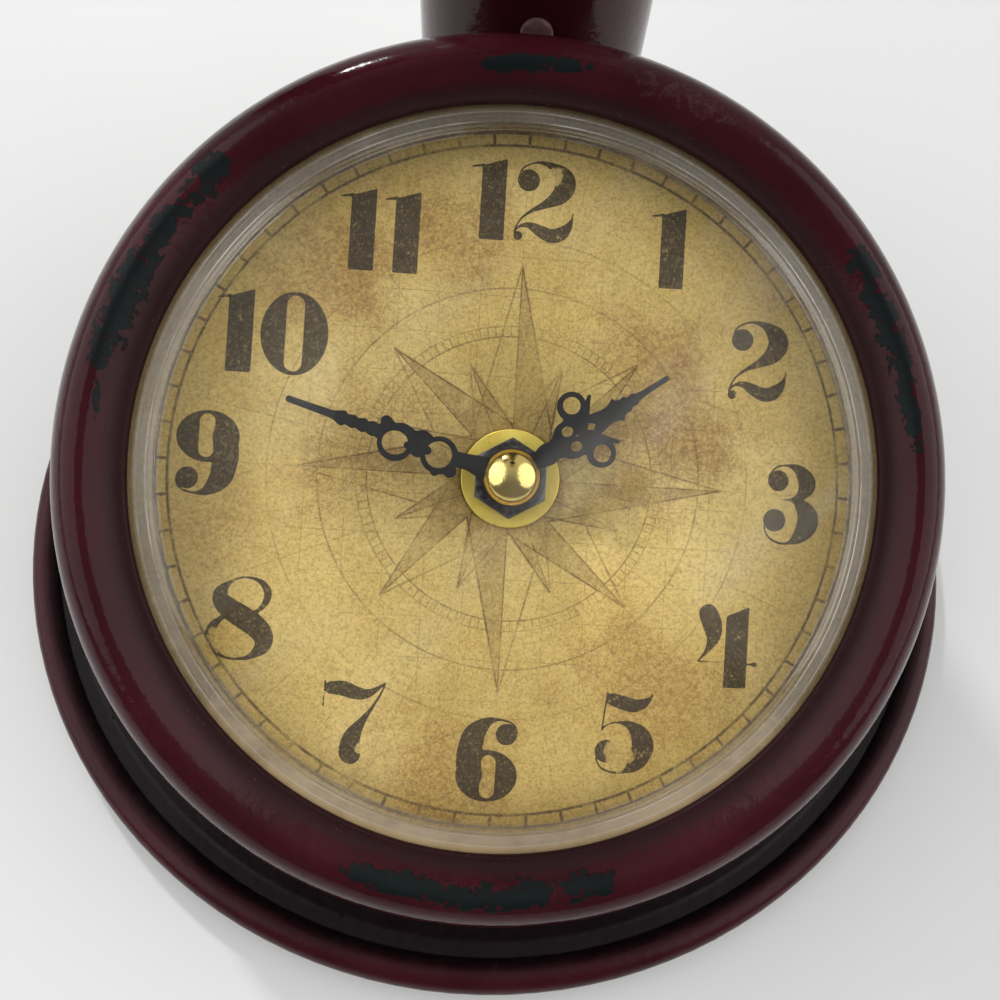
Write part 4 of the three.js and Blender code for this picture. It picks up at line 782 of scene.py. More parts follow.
def ray_effect():
    """Printed rays from the middle, between two radii."""
    tree, w, given, result = effect("printed_rays", ["Mask"], Angle_Here=0.0, Radius_Here=0.0,
                                    Spacing=6.0, Turn=0.0, Inner=10.0, Outer=20.0, Half_Width=0.15)
    away = w.wrap(w.minus(given["Angle Here"], given["Turn"]), w.over(given["Spacing"], 2))
    off = w.times(w.size(w.math("RADIANS", away)), given["Radius Here"])
    line = w.line(off, given["Half Width"])
    past = w.math("GREATER_THAN", given["Radius Here"], given["Inner"])
    short = w.math("LESS_THAN", given["Radius Here"], given["Outer"])
    w.join(result["Mask"], w.times(past, short, line))
    return tree


def rose_effect():
    """Points of a compass rose: one side of each is filled, and both have a line round them."""
    tree, w, given, result = effect("rose_points", ["Filled", "Line"], Angle_Here=0.0, Radius_Here=0.0,
                                    Spacing=90.0, Turn=0.0, Waist=9.0, Reach=36.0, Line=0.15)
    half = w.over(given["Spacing"], 2)
    turn = w.math("RADIANS", w.wrap(w.minus(given["Angle Here"], given["Turn"]), half))
    along = w.times(given["Radius Here"], w.math("COSINE", turn))
    across = w.times(given["Radius Here"], w.math("SINE", turn))
    waist_turn = w.math("RADIANS", half)
    waist_along = w.times(given["Waist"], w.math("COSINE", waist_turn))
    waist_across = w.times(given["Waist"], w.math("SINE", waist_turn))
    share = w.over(w.minus(given["Reach"], along), w.minus(given["Reach"], waist_along))
    side = w.times(waist_across, share)
    room = w.minus(side, w.size(across))
    inside = w.math("GREATER_THAN", room, 0.0)
    left = w.math("GREATER_THAN", across, 0.0)
    w.join(result["Filled"], w.times(inside, left))
    rim = w.ramp(w.size(room), w.times(given["Line"], 0.6), given["Line"], 1.0, 0.0)
    spine = w.ramp(w.size(across), w.times(given["Line"], 0.4), w.times(given["Line"], 0.7), 1.0, 0.0)
    short = w.math("LESS_THAN", along, given["Reach"])
    drawn = w.most(rim, w.times(spine, inside))
    w.join(result["Line"], w.times(drawn, short))
    return tree


def stain_effect():
    """A soft round stain with an uneven edge."""
    tree, w, given, result = effect("stain", ["Mask"], Vector=None, Middle=None, Radius=10.0,
                                    Uneven=0.5)
    flat = w.vector("MULTIPLY", given["Vector"], (1.0, 1.0, 0.0))
    off = w.vector("DISTANCE", flat, given["Middle"], out=1)
    share = w.over(off, given["Radius"])
    rough = w.times(w.minus(w.noise(given["Vector"], 0.13, 4), 0.5), given["Uneven"])
    w.join(result["Mask"], w.ramp(w.plus(share, w.times(rough, 2)), 0.1, 1.0, 1.0, 0.0))
    return tree


MOTTLE = mottle_effect()
SPECKS = speck_effect()
SCRATCHES = scratch_effect()
CHIP = chip_effect()
TURNING = turning_effect()
RING = ring_effect()
RAYS = ray_effect()
ROSE = rose_effect()
STAIN = stain_effect()


def bumped(w, shader, height, depth, chained=None):
    """A bump of a real depth in microns on the shader's normal."""
    made = w.put("ShaderNodeBump", {"Strength": 1.0, "Distance": depth * MICRON, "Height": height})
    if chained is not None:
        w.join(made.inputs["Normal"], chained)
    w.join(shader.inputs["Normal"], made.outputs[0])
    return made.outputs[0]


# Finishes

MAROON = (0.033, 0.0043, 0.0072)
MAROON_LIGHT = (0.048, 0.0065, 0.0108)
MAROON_DEEP = (0.022, 0.004, 0.006)
RUBBED_PAINT = (0.062, 0.028, 0.024)
# Darker brown of the bezel's inner slope: painted shade in the recess by the lens
SHADED_MATT_BROWN = (0.013, 0.0042, 0.0044)
PRIMER = (0.0026, 0.0052, 0.0054)
PRIMER_LIGHT = (0.0055, 0.0088, 0.0086)
# Grime on the base, darkened further as painted shade where the bezel shades it
GRIME_AND_SHADE = (0.0026, 0.0013, 0.0021)
GRIME_AND_SHADE_LIGHT = (0.0085, 0.0050, 0.0062)
# Pale pink for the column screw: partly dust, partly a painted sheen of the light on its dome
DUST_AND_SHEEN_PINK = (0.16, 0.095, 0.092)
DUST = (0.42, 0.36, 0.31)

# Angle clockwise from twelve, half length, radius, half width, slant
BEZEL_CHIPS = [
    (311.6, 2.6, 66.1, 1.9, 0.0),
    (302.0, 6.6, 65.7, 1.35, -0.3),
    (291.0, 8.0, 65.4, 1.75, 0.3),
    (282.0, 1.0, 65.0, 0.8, 0.0),
    (277.0, 2.2, 64.5, 0.35, 0.3),
    (357.5, 4.4, 65.2, 1.0, 0.1),
    (3.6, 3.6, 65.4, 0.8, 0.2),
    (55.4, 2.6, 65.8, 1.5, 0.0),
    (66.0, 8.0, 65.1, 1.45, -0.2),
    (76.5, 5.6, 65.0, 0.95, 0.3),
    (166.0, 3.6, 65.1, 1.5, 0.0),
    (178.0, 7.0, 65.4, 1.6, 0.4),
    (190.0, 8.4, 65.3, 1.35, 0.3),
]
# The same values for places where the paint is only rubbed
BEZEL_SCUFFS = [(20.4, 6.5, 66.2, 1.5, 0.3)]


def maroon_paint(name, seat=HERE, chips=(), scuffs=(), grime_and_shade_radius=None, matt_radius=None,
                 edge_wear=0.35, gloss=(0.21, 0.32), shine=0.14, dust_and_sheen=0.0):
    """Satin maroon enamel over a near-black green primer, worn through in places."""
    material, w, shader = finish(name, Roughness=0.3, Specular_IOR_Level=shine)
    here = w.place(seat)
    angle, radius = w.polar(here)
    tone = w.use(MOTTLE, Vector=here, Scale=0.045, Detail=4.0)
    colour = w.blend(tone, MAROON, MAROON_LIGHT)
    fine = w.use(MOTTLE, Vector=here, Scale=0.9, Detail=5.0, Low=0.0, High=0.22)
    colour = w.blend(fine, colour, MAROON_DEEP)
    flakes = w.put("ShaderNodeTexVoronoi", {"Vector": here, "Scale": 0.95}).outputs["Color"]
    ragged = w.plus(w.times(w.noise(here, 0.32, 3, 0.5), 0.42),
                    w.times(w.noise(here, 1.0, 7, 0.8), 0.42),
                    w.times(w.parts(flakes)[0], 0.16))

    def marked(places):
        return w.most(*(w.use(CHIP, Angle_Here=angle, Radius_Here=radius, Ragged=ragged, Angle=middle,
                              Half_Length=half, Radius=at, Half_Width=width, Slant=slant)
                        for middle, half, at, width, slant in places))

    matt = w.use(MOTTLE, Vector=here, Scale=0.12, Detail=4.0, Low=gloss[0], High=gloss[1])
    if scuffs:
        rubbed = w.times(marked(scuffs), w.ramp(w.noise(here, 0.9, 6, 0.75), 0.42, 0.6))
        colour = w.blend(w.times(rubbed, 0.55), colour, RUBBED_PAINT)
        matt = w.plus(matt, w.times(rubbed, 0.2))
    worn = w.times(w.attribute("edge"), edge_wear)
    bare = w.ramp(w.plus(w.noise(here, 0.22, 6, 0.6), worn), 0.93, 0.97)
    if chips:
        bare = w.most(bare, marked(chips))
    colour = w.blend(bare, colour, w.blend(w.noise(here, 0.8, 4), PRIMER, PRIMER_LIGHT))
    specks = w.use(SPECKS, Vector=here, Scale=0.2, Size=0.03, Amount=0.16)
    colour = w.blend(w.times(specks, 0.3), colour, DUST)
    matt = w.plus(matt, w.times(bare, 0.26))
    uneven = w.plus(radius, w.times(ragged, 0.6))
    # Near-black towards the middle: partly grime, partly painted shade under the bezel
    if grime_and_shade_radius:
        low = w.ramp(uneven, *grime_and_shade_radius, 1.0, 0.0)
        grime_and_shade = w.blend(w.ramp(w.noise(here, 0.5, 6, 0.7), 0.35, 0.8), GRIME_AND_SHADE, GRIME_AND_SHADE_LIGHT)
        colour = w.blend(w.times(low, 0.95), colour, grime_and_shade)
        matt = w.plus(matt, w.times(low, 0.12))
    # Darker and matter towards the opening: painted shade in the recess by the lens, with dust specks
    if matt_radius:
        band = w.ramp(uneven, *matt_radius, 1.0, 0.0)
        dots = w.use(SPECKS, Vector=here, Scale=1.1, Size=0.16, Amount=0.5)
        shaded_brown = w.blend(w.times(dots, 0.8), SHADED_MATT_BROWN, RUBBED_PAINT)
        colour = w.blend(w.times(band, 0.75), colour, shaded_brown)
        matt = w.plus(matt, w.times(band, 0.3))
    # A pale pink film: partly dust, partly a painted sheen where the dome catches the light
    if dust_and_sheen:
        dust_and_sheen_share = w.ramp(w.noise(here, 0.6, 5), 0.3, 0.7, dust_and_sheen * 0.7, dust_and_sheen)
        colour = w.blend(dust_and_sheen_share, colour, DUST_AND_SHEEN_PINK)
    w.join(shader.inputs["Base Color"], colour)
    w.join(shader.inputs["Roughness"], matt)
    first = bumped(w, shader, w.noise(here, 0.55, 2), 60)
    bumped(w, shader, w.minus(1.0, bare), 180, first)
    return material


def paler(colour, times):
    """A brighter colour, as far as white."""
    return tuple(min(1, c * times) for c in colour)


def plain_metal(name, light, dark, roughness, seat=HERE, rings=0.0, scratches=0.3, worn=0.0,
                metallic=1.0):
    """A metal with tone patches, turning rings or drawn lines, and lighter worn edges."""
    material, w, shader = finish(name, Metallic=metallic, Roughness=roughness)
    here = w.place(seat)
    tone = w.use(MOTTLE, Vector=here, Scale=0.25, Detail=4.0)
    colour = w.blend(tone, dark, light)
    lines = w.use(SCRATCHES, Vector=here, Turn=0.6, Scale=3.0, Width=0.02, Amount=scratches)
    colour = w.blend(w.times(lines, 0.4), colour, paler(light, 1.5))
    if worn:
        share = w.ramp(w.plus(w.attribute("edge"), w.noise(here, 1.2, 4)), 1.0, 1.5, 0.0, worn)
        colour = w.blend(share, colour, paler(light, 2.2))
    w.join(shader.inputs["Base Color"], colour)
    matt = w.use(MOTTLE, Vector=here, Scale=0.6, Detail=5.0, Low=roughness * 0.8,
                 High=min(1, roughness * 1.3))
    w.join(shader.inputs["Roughness"], w.plus(matt, w.times(lines, 0.1)))
    if rings:
        bumped(w, shader, w.use(TURNING, Vector=here, Pitch=rings), 40)
    else:
        bumped(w, shader, w.noise(here, 2.5, 4), 20)
    return material


def moulded(name, light, dark, roughness, grain=1.6, depth=30, specks=0.0):
    """A moulded or painted plain surface with a fine grain, its depth in microns."""
    material, w, shader = finish(name, Roughness=roughness)
    here = w.place()
    tone = w.use(MOTTLE, Vector=here, Scale=0.08, Detail=5.0)
    colour = w.blend(tone, dark, light)
    if specks:
        dots = w.use(SPECKS, Vector=here, Scale=0.3, Size=0.05, Amount=specks)
        colour = w.blend(w.times(dots, 0.5), colour, DUST)
    w.join(shader.inputs["Base Color"], colour)
    matt = w.use(MOTTLE, Vector=here, Scale=0.3, Detail=5.0, Low=roughness * 0.8,
                 High=min(1, roughness * 1.25))
    w.join(shader.inputs["Roughness"], matt)
    bumped(w, shader, w.noise(here, grain, 4, 0.6), depth)
    return material


# The dial's print: millimetres on the dial, with x to the right and y towards twelve

GRATICULE = 7.0
GRATICULE_RADIUS = 41.5
# Radii over which the dial grows darker towards its rim
RIM_DARKENING = (58, 76)
TRACK_INSIDE, TRACK_OUTSIDE = 57.9, 60.1
MINUTE_SPACING = 6
PAPER_DARK = (0.71, 0.50, 0.135)
PAPER_LIGHT = (0.87, 0.665, 0.245)
PALE_FIBRE = (0.97, 0.81, 0.38)
FIBRE_BROWN = (0.50, 0.32, 0.115)
RIM_BROWN = (0.42, 0.265, 0.085)
STAIN_BROWN = (0.35, 0.165, 0.030)
STAIN_GOLD = (0.42, 0.235, 0.045)
FOXING_BROWN = (0.20, 0.10, 0.04)
PRINT_BROWN = (0.155, 0.075, 0.024)
CRACK_BROWN = (0.20, 0.095, 0.03)
TRACK_BROWN = (0.135, 0.095, 0.052)
INK_DARK = (0.032, 0.024, 0.015)
INK_THIN = (0.074, 0.055, 0.034)
# Place, radius, strength
STAINS = [((-30, 34), 17, 0.75), ((27, 8), 17, 0.85), ((24, 22), 13, 0.65), ((-22, 4), 22, 0.45),
          ((-8, -52), 20, 0.5), ((26, -34), 18, 0.5), ((-48, -10), 16, 0.3), ((-12, 42), 15, 0.55),
          ((46, 36), 12, 0.3)]
# Place and radius where the numerals have flaked
FLAKED_INK = [((-47.5, -30), 3.2), ((20.8, -46.5), 4.2), ((-23, -47.5), 2.6), ((4.5, 53), 2.6)]
# Angle from point to point, angle of the first, radius at the waist and at the tips
ROSE_POINTS = [(90, 0, 10, 37), (90, 45, 9.5, 30), (45, 22.5, 9.0, 21)]
# Radius, half width, strength
PRINT_RINGS = [(24.6, 0.13, 0.7), (26.4, 0.10, 0.5), (33.0, 0.16, 0.55), (GRATICULE_RADIUS, 0.12, 0.4)]
# Angle from ray to ray, inner and outer radius, half width, strength
PRINT_RAYS = [(3, 24.6, 26.4, 0.09, 0.6), (11.25, 26.4, 55, 0.07, 0.34), (5, 33, 34.2, 0.09, 0.5)]


def aged_paper(w, here, radius):
    """Parchment, darker at its rim, with stains. Gives its colour and the share of stain."""
    cloud = w.noise(here, 0.035, 5, 0.6)
    paper = w.blend(w.ramp(cloud, 0.3, 0.7), PAPER_DARK, PAPER_LIGHT)
    fibre = w.use(MOTTLE, Vector=here, Scale=0.8, Detail=6.0, Low=0.0, High=0.28)
    paper = w.blend(fibre, paper, FIBRE_BROWN)
    rim = w.ramp(w.plus(radius, w.times(cloud, 14)), *RIM_DARKENING, 0.0, 0.42)
    paper = w.blend(rim, paper, RIM_BROWN)
    texture = w.ramp(w.noise(here, 0.9, 8, 0.8), 0.36, 0.62, 0.45, 1.0)
    stains = [w.times(w.use(STAIN, Vector=here, Middle=(*place, 0), Radius=size, Uneven=0.9), strength)
              for place, size, strength in STAINS]
    for stain in stains:
        paper = w.blend(w.times(stain, texture), paper, STAIN_BROWN)
    blotch = w.ramp(w.noise(here, 0.16, 7, 0.7), 0.52, 0.72, 0.0, 0.32)
    paper = w.blend(w.times(blotch, texture), paper, STAIN_GOLD)
    foxing = w.use(SPECKS, Vector=here, Scale=0.35, Size=0.22, Amount=0.12)
    return w.blend(w.times(foxing, 0.16), paper, FOXING_BROWN), w.most(*stains)


def faded_drawing(w, here, angle, radius):
    """Share of the faded print: the rose with its rings and rays, on a grid of fine lines."""
    marks = []
    for spacing, turn, waist, reach in ROSE_POINTS:
        points = w.use(ROSE, Angle_Here=angle, Radius_Here=radius, Spacing=spacing, Turn=turn,
                       Waist=waist, Reach=reach, Line=0.22)
        marks.append(w.plus(w.times(points["Filled"], 0.42), w.times(points["Line"], 0.6)))
    for at, thick, strength in PRINT_RINGS:
        ring = w.use(RING, Radius_Here=radius, Radius=at, Half_Width=thick)
        marks.append(w.times(ring, strength))
    for spacing, start, end, thick, strength in PRINT_RAYS:
        rays = w.use(RAYS, Angle_Here=angle, Radius_Here=radius, Spacing=spacing, Inner=start,
                     Outer=end, Half_Width=thick)
        marks.append(w.times(rays, strength))
    within_grid = w.ramp(radius, GRATICULE_RADIUS - 2.5, GRATICULE_RADIUS, 1.0, 0.0)
    x, y, _ = w.parts(here)
    for across, shift in ((x, 0.0), (y, GRATICULE / 2)):
        off = w.size(w.wrap(w.minus(across, shift), GRATICULE / 2))
        marks.append(w.times(w.ramp(off, 0.05, 0.11, 0.36, 0.0), within_grid))
    fade = w.ramp(w.noise(here, 0.11, 5, 0.65), 0.30, 0.62, 0.28, 1.0)
    return w.times(w.most(*marks), fade)


def crackle(w, here, stained):
    """Share of fine cracks, most of all over the stains."""
    wander = w.put("ShaderNodeTexNoise", {"Vector": here, "Scale": 0.3, "Detail": 3.0}).outputs["Color"]
    pushed = w.vector("ADD", here, w.vector("MULTIPLY", wander, (4.0, 4.0, 4.0)))
    cells = w.put("ShaderNodeTexVoronoi", {"Vector": pushed, "Scale": 0.6}, feature="DISTANCE_TO_EDGE")
    places = w.most(w.ramp(w.noise(here, 0.05, 4, 0.6), 0.52, 0.66, 0.0, 0.45),
                    w.ramp(stained, 0.08, 0.4))
    return w.times(w.ramp(cells.outputs[0], 0.0, 0.09, 1.0, 0.0), places)


def minute_track(w, here, angle, radius):
    """Share of the minute track: two rings and a stroke for each minute, worn in places."""
    rings = [w.use(RING, Radius_Here=radius, Radius=at, Half_Width=0.25)
             for at in (TRACK_INSIDE, TRACK_OUTSIDE)]
    strokes = w.use(RAYS, Angle_Here=angle, Radius_Here=radius, Spacing=MINUTE_SPACING,
                    Inner=TRACK_INSIDE, Outer=TRACK_OUTSIDE, Half_Width=0.27)
    left = w.ramp(w.noise(here, 0.2, 5), 0.3, 0.6, 0.3, 0.9)
    return w.times(w.most(*rings, strokes), left)


def worn_ink(w, here, grain):
    """Share of ink that is left on the numerals: grainy, rubbed, scraped and flaked."""
    ink = w.times(w.attribute("ink"), w.ramp(grain, 0.5, 0.72, 1.0, 0.72))
    rubbed = w.ramp(w.noise(here, 0.42, 7, 0.75), 0.60, 0.68, 1.0, 0.3)
    scrapes = w.use(SCRATCHES, Vector=here, Turn=1.1, Scale=1.3, Width=0.014, Amount=0.3)
    ink = w.times(ink, w.times(rubbed, w.minus(1.0, w.times(scrapes, 0.35))))
    ragged = w.noise(here, 0.9, 7, 0.8)
    for place, size in FLAKED_INK:
        mask = w.use(STAIN, Vector=here, Middle=(*place, 0), Radius=size, Uneven=1.2)
        ink = w.times(ink, w.ramp(w.plus(mask, ragged), 0.82, 1.02, 1.0, 0.18))
    return ink


def parchment_print():
    """Aged paper with a faded drawing, a minute track and worn numerals."""
    material, w, shader = finish("parchment_print", Roughness=0.75)
    here = w.place(CLOCK_SEAT)
    angle, radius = w.polar(here)
    colour, stained = aged_paper(w, here, radius)
    colour = w.blend(faded_drawing(w, here, angle, radius), colour, PRINT_BROWN)
    colour = w.blend(w.times(crackle(w, here, stained), 0.36), colour, CRACK_BROWN)
    colour = w.blend(minute_track(w, here, angle, radius), colour, TRACK_BROWN)
    grain = w.noise(here, 2.3, 3, 0.7)
    colour = w.blend(w.ramp(grain, 0.34, 0.52, 0.34, 0.0), colour, PRINT_BROWN)
    colour = w.blend(w.ramp(grain, 0.48, 0.66, 0.0, 0.22), colour, PALE_FIBRE)
    tint = w.blend(w.noise(here, 0.6, 5), INK_DARK, INK_THIN)
    colour = w.blend(w.times(worn_ink(w, here, grain), 0.95), colour, tint)
    w.join(shader.inputs["Base Color"], colour)
    w.join(shader.inputs["Roughness"],
           w.use(MOTTLE, Vector=here, Scale=0.5, Detail=5.0, Low=0.65, High=0.85))
    bumped(w, shader, w.noise(here, 1.1, 6, 0.7), 30)
    return material


CLEAR_TINT = (0.02, 0.018, 0.014)
HAZE_TINT = (0.66, 0.63, 0.57)
# Tint of the painted highlight lines on the lens
HIGHLIGHT_LINE_TINT = (0.74, 0.70, 0.62)
RING_SHADE = (0.080, 0.062, 0.048)
RING_DUST = (0.50, 0.40, 0.28)
EDGE_SHADE = (0.15, 0.112, 0.066)
EDGE_DUST = (0.62, 0.46, 0.26)
CLEAREST = 0.025
CLOUDIEST = 0.85
# Radii between which the shoulder, the flange and its outer band begin
SHOULDER_START = (55.7, 56.2)
FLANGE_START = (57.3, 57.9)
BAND_START = (58.9, 59.3)
# Radius, half width, strength of the painted highlight lines where the lens's shoulder and flange catch
# the light
LENS_HIGHLIGHT_LINES = [(55.9, 0.10, 0.6), (57.5, 0.16, 0.9), (59.1, 0.13, 0.75)]


def clear_plastic():
    """A clear moulded lens: faint streaks over the dome, a cloudy flange and painted highlight lines at
    its shoulder.
    """
    material, w, shader = finish("clear_plastic", Roughness=0.06, IOR=2.6)
    here = w.place(CLOCK_SEAT)
    radius = w.radius(here)
    flange = w.ramp(radius, *FLANGE_START)
    shoulder = w.minus(w.ramp(radius, *SHOULDER_START), flange)
    # Painted highlights: bright rings at the shoulder and the flange's edges
    lines = w.most(*(w.times(w.use(RING, Radius_Here=radius, Radius=at, Half_Width=thick), strength)
                     for at, thick, strength in LENS_HIGHLIGHT_LINES))
    broken = w.use(MOTTLE, Vector=here, Scale=0.05, Detail=3.0, Low=0.25, High=0.8)
    lines = w.times(lines, broken)
    drawn = w.vector("MULTIPLY", w.turned(here, -0.85), (0.012, 0.055, 0.0))
    haze = w.ramp(w.noise(drawn, 1.0, 3, 0.5), 0.5, 0.72, 0.0, 0.06)
    fine = w.use(SCRATCHES, Vector=here, Turn=0.8, Scale=0.8, Width=0.01, Amount=0.4)
    haze = w.plus(haze, w.times(fine, 0.04))
    # The flange grows cloudier and lighter towards the bottom
    cloudier_towards_bottom = w.ramp(w.parts(here)[1], -60.0, -15.0, 0.45, 0.0)
    cloud = w.plus(w.times(w.noise(here, 0.16, 5, 0.65), 0.85), cloudier_towards_bottom)
    cloudy = w.ramp(cloud, 0.25, 0.95, 0.34, 0.5)
    ringed = w.plus(w.times(shoulder, 0.2), w.times(flange, cloudy))
    cover = w.most(w.plus(haze, CLEAREST, ringed), w.times(lines, CLOUDIEST))
    w.join(shader.inputs["Alpha"], w.least(cover, CLOUDIEST))
    milk = w.over(haze, w.plus(haze, CLEAREST))
    tint = w.blend(milk, CLEAR_TINT, HAZE_TINT)
    dust = w.ramp(cloud, 0.42, 0.95)
    ring_tint = w.blend(w.ramp(radius, *BAND_START), w.blend(dust, RING_SHADE, RING_DUST),
                        w.blend(dust, EDGE_SHADE, EDGE_DUST))
    tint = w.blend(w.least(w.times(ringed, 4.0), 1.0), tint, ring_tint)
    w.join(shader.inputs["Base Color"], w.blend(lines, tint, HIGHLIGHT_LINE_TINT))
    w.join(shader.inputs["Roughness"], w.ramp(flange, 0.0, 1.0, 0.05, 0.35))
    return material


def winding(name, light, dark):
    """Fine wire wound side by side."""
    material, w, shader = finish(name, Metallic=0.9, Roughness=0.35)
    here = w.place(CLOCK_SEAT)
    lines = w.put("ShaderNodeTexWave",
                  {"Vector": here, "Scale": 1.6, "Distortion": 0.4, "Detail": 1.0},
                  bands_direction="X").outputs["Fac"]
    w.join(shader.inputs["Base Color"], w.blend(lines, dark, light))
    w.join(shader.inputs["Roughness"], w.ramp(w.noise(here, 0.6, 3), 0.3, 0.7, 0.28, 0.42))
    bumped(w, shader, lines, 100)
    return material


def board_finish():
    """Green lacquer over copper tracks with solder dots."""
    material, w, shader = finish("green_board", Roughness=0.4)
    here = w.place(CLOCK_SEAT)
    cells = w.put("ShaderNodeTexBrick", {"Vector": here, "Scale": 0.5, "Mortar Size": 0.06})
    tracks = w.blend(cells.outputs["Fac"], (0.012, 0.075, 0.026), (0.03, 0.14, 0.05))
    dots = w.use(SPECKS, Vector=here, Scale=0.45, Size=0.22, Amount=0.6)
    w.join(shader.inputs["Base Color"], w.blend(dots, tracks, (0.55, 0.55, 0.53)))
    w.join(shader.inputs["Roughness"], w.ramp(dots, 0.0, 1.0, 0.42, 0.25))
    bumped(w, shader, w.plus(cells.outputs["Fac"], dots), 80)
    return material


def felt_finish():
    """Pressed wool felt with short loose fibres."""
    material, w, shader = finish("felt", Roughness=0.95, Sheen_Weight=0.3, Sheen_Roughness=0.5)
    here = w.place()
    fibres = w.noise(here, 2.2, 8, 0.75, 1.5)
    tone = w.use(MOTTLE, Vector=here, Scale=0.1, Detail=5.0)
    colour = w.blend(tone, (0.014, 0.030, 0.018), (0.030, 0.055, 0.034))
    loose = w.ramp(fibres, 0.4, 0.75, 0.0, 0.5)
    w.join(shader.inputs["Base Color"], w.blend(loose, colour, (0.075, 0.115, 0.08)))
    w.join(shader.inputs["Roughness"], w.ramp(fibres, 0.3, 0.7, 0.85, 1.0))
    bumped(w, shader, fibres, 500)
    return material


BATTERY_BAND = 12.0
BATTERY_ENDS = 24.0


def battery_finish():
    """A dry cell: dark sleeve with a pale band, and bright ends."""
    material, w, shader = finish("battery_sleeve", Roughness=0.35)
    here = w.place(CLOCK_SEAT)
    along = w.parts(here)[0]
    band = w.ramp(along, BATTERY_BAND, BATTERY_BAND + 0.3)
    ends = w.math("GREATER_THAN", w.size(along), BATTERY_ENDS)
    tone = w.use(MOTTLE, Vector=here, Scale=0.3, Detail=4.0)
    colour = w.blend(tone, (0.022, 0.030, 0.042), (0.035, 0.045, 0.06))
    colour = w.blend(band, colour, (0.46, 0.30, 0.11))
    w.join(shader.inputs["Base Color"], w.blend(ends, colour, (0.62, 0.61, 0.58)))
    w.join(shader.inputs["Metallic"], w.ramp(ends, 0.0, 1.0, 0.1, 1.0))
    w.join(shader.inputs["Roughness"], w.ramp(tone, 0.0, 1.0, 0.28, 0.4))
    bumped(w, shader, w.noise(here, 1.5, 3), 20)
    return material


# The bezel's inner slope is painted darker towards the opening, as shade
BEZEL_PAINT = maroon_paint("maroon_bezel", CLOCK_SEAT, BEZEL_CHIPS, BEZEL_SCUFFS,
                           matt_radius=(61.6, 64.2), edge_wear=0.2, gloss=(0.09, 0.17))
# The base's flat inside the bead is painted near-black: grime and painted shade under the bezel
BASE_PAINT = maroon_paint("maroon_base", grime_and_shade_radius=(93.2, 96.0), edge_wear=0.3)
PAINT = maroon_paint("maroon_paint", edge_wear=0.32)
COLUMN_PAINT = maroon_paint("maroon_column", edge_wear=0.32, gloss=(0.09, 0.15), shine=0.36)
# The column screw gets a pale film of dust and a painted sheen
SCREW_PAINT = maroon_paint("maroon_screw", edge_wear=0.2, dust_and_sheen=0.5)
BRASS = plain_metal("brass", (0.66, 0.46, 0.13), (0.50, 0.33, 0.085), 0.24)
WASHER_BRASS = plain_metal("washer_brass", (0.98, 0.78, 0.16), (0.84, 0.63, 0.10), 0.34, CLOCK_SEAT,
                           rings=5.0, metallic=0.4)
CAP_BRASS = plain_metal("polished_brass", (0.88, 0.70, 0.26), (0.82, 0.62, 0.20), 0.12, CLOCK_SEAT,
                        scratches=0.15)
NUT_STEEL = plain_metal("nut_steel", (0.070, 0.066, 0.062), (0.025, 0.023, 0.022), 0.36, CLOCK_SEAT,
                        scratches=0.4, worn=0.9)
STEEL = plain_metal("zinc_steel", (0.52, 0.52, 0.50), (0.36, 0.36, 0.35), 0.38)
IRON = moulded("cast_iron", (0.045, 0.042, 0.040), (0.022, 0.020, 0.019), 0.7, grain=0.9, depth=200)
HAND_BLACK = moulded("hand_black", (0.0105, 0.010, 0.0105), (0.006, 0.006, 0.0065), 0.42, grain=2.0,
                     depth=10, specks=0.04)
BAKELITE = moulded("black_moulding", (0.014, 0.012, 0.012), (0.007, 0.006, 0.006), 0.22, grain=0.5,
                   specks=0.12)
RUBBER = moulded("rubber", (0.018, 0.018, 0.018), (0.010, 0.010, 0.010), 0.8)
GREY_PLASTIC = moulded("movement_plastic", (0.030, 0.031, 0.033), (0.020, 0.021, 0.023), 0.5, grain=1.8,
                       depth=50)
WHITE_PLASTIC = moulded("wheel_plastic", (0.78, 0.74, 0.64), (0.68, 0.64, 0.54), 0.42)
DIAL_PRINT = parchment_print()
CLEAR = clear_plastic()
COPPER = winding("copper_winding", (0.62, 0.24, 0.09), (0.30, 0.10, 0.035))
BOARD = board_finish()
FELT = felt_finish()
BATTERY = battery_finish()


def show(piece, material, body, slot, *nodes):
    """Gives a piece its finish and its body, and hides the CAD nodes that it stands for. The slot is
    not used.
    """
    piece.data.materials.clear()
    piece.data.materials.append(material)
    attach(piece, body)
    if nodes:
        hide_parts(*nodes)


# Base

BASE_TOP, BASE_UNDER = 9.5, 8.0
BEAD_RADIUS, BEAD_HEIGHT, BEAD_ROLL = 95, 6.5, 3
GROOVE_RADIUS, GROOVE_HEIGHT = 89.9, 7.85
SERVICE_HOLE = 46
HOLE_EASE = 0.15
FELT_INSIDE, FELT_OUTSIDE = 75, 89
PLATE_LEVEL = 2.4


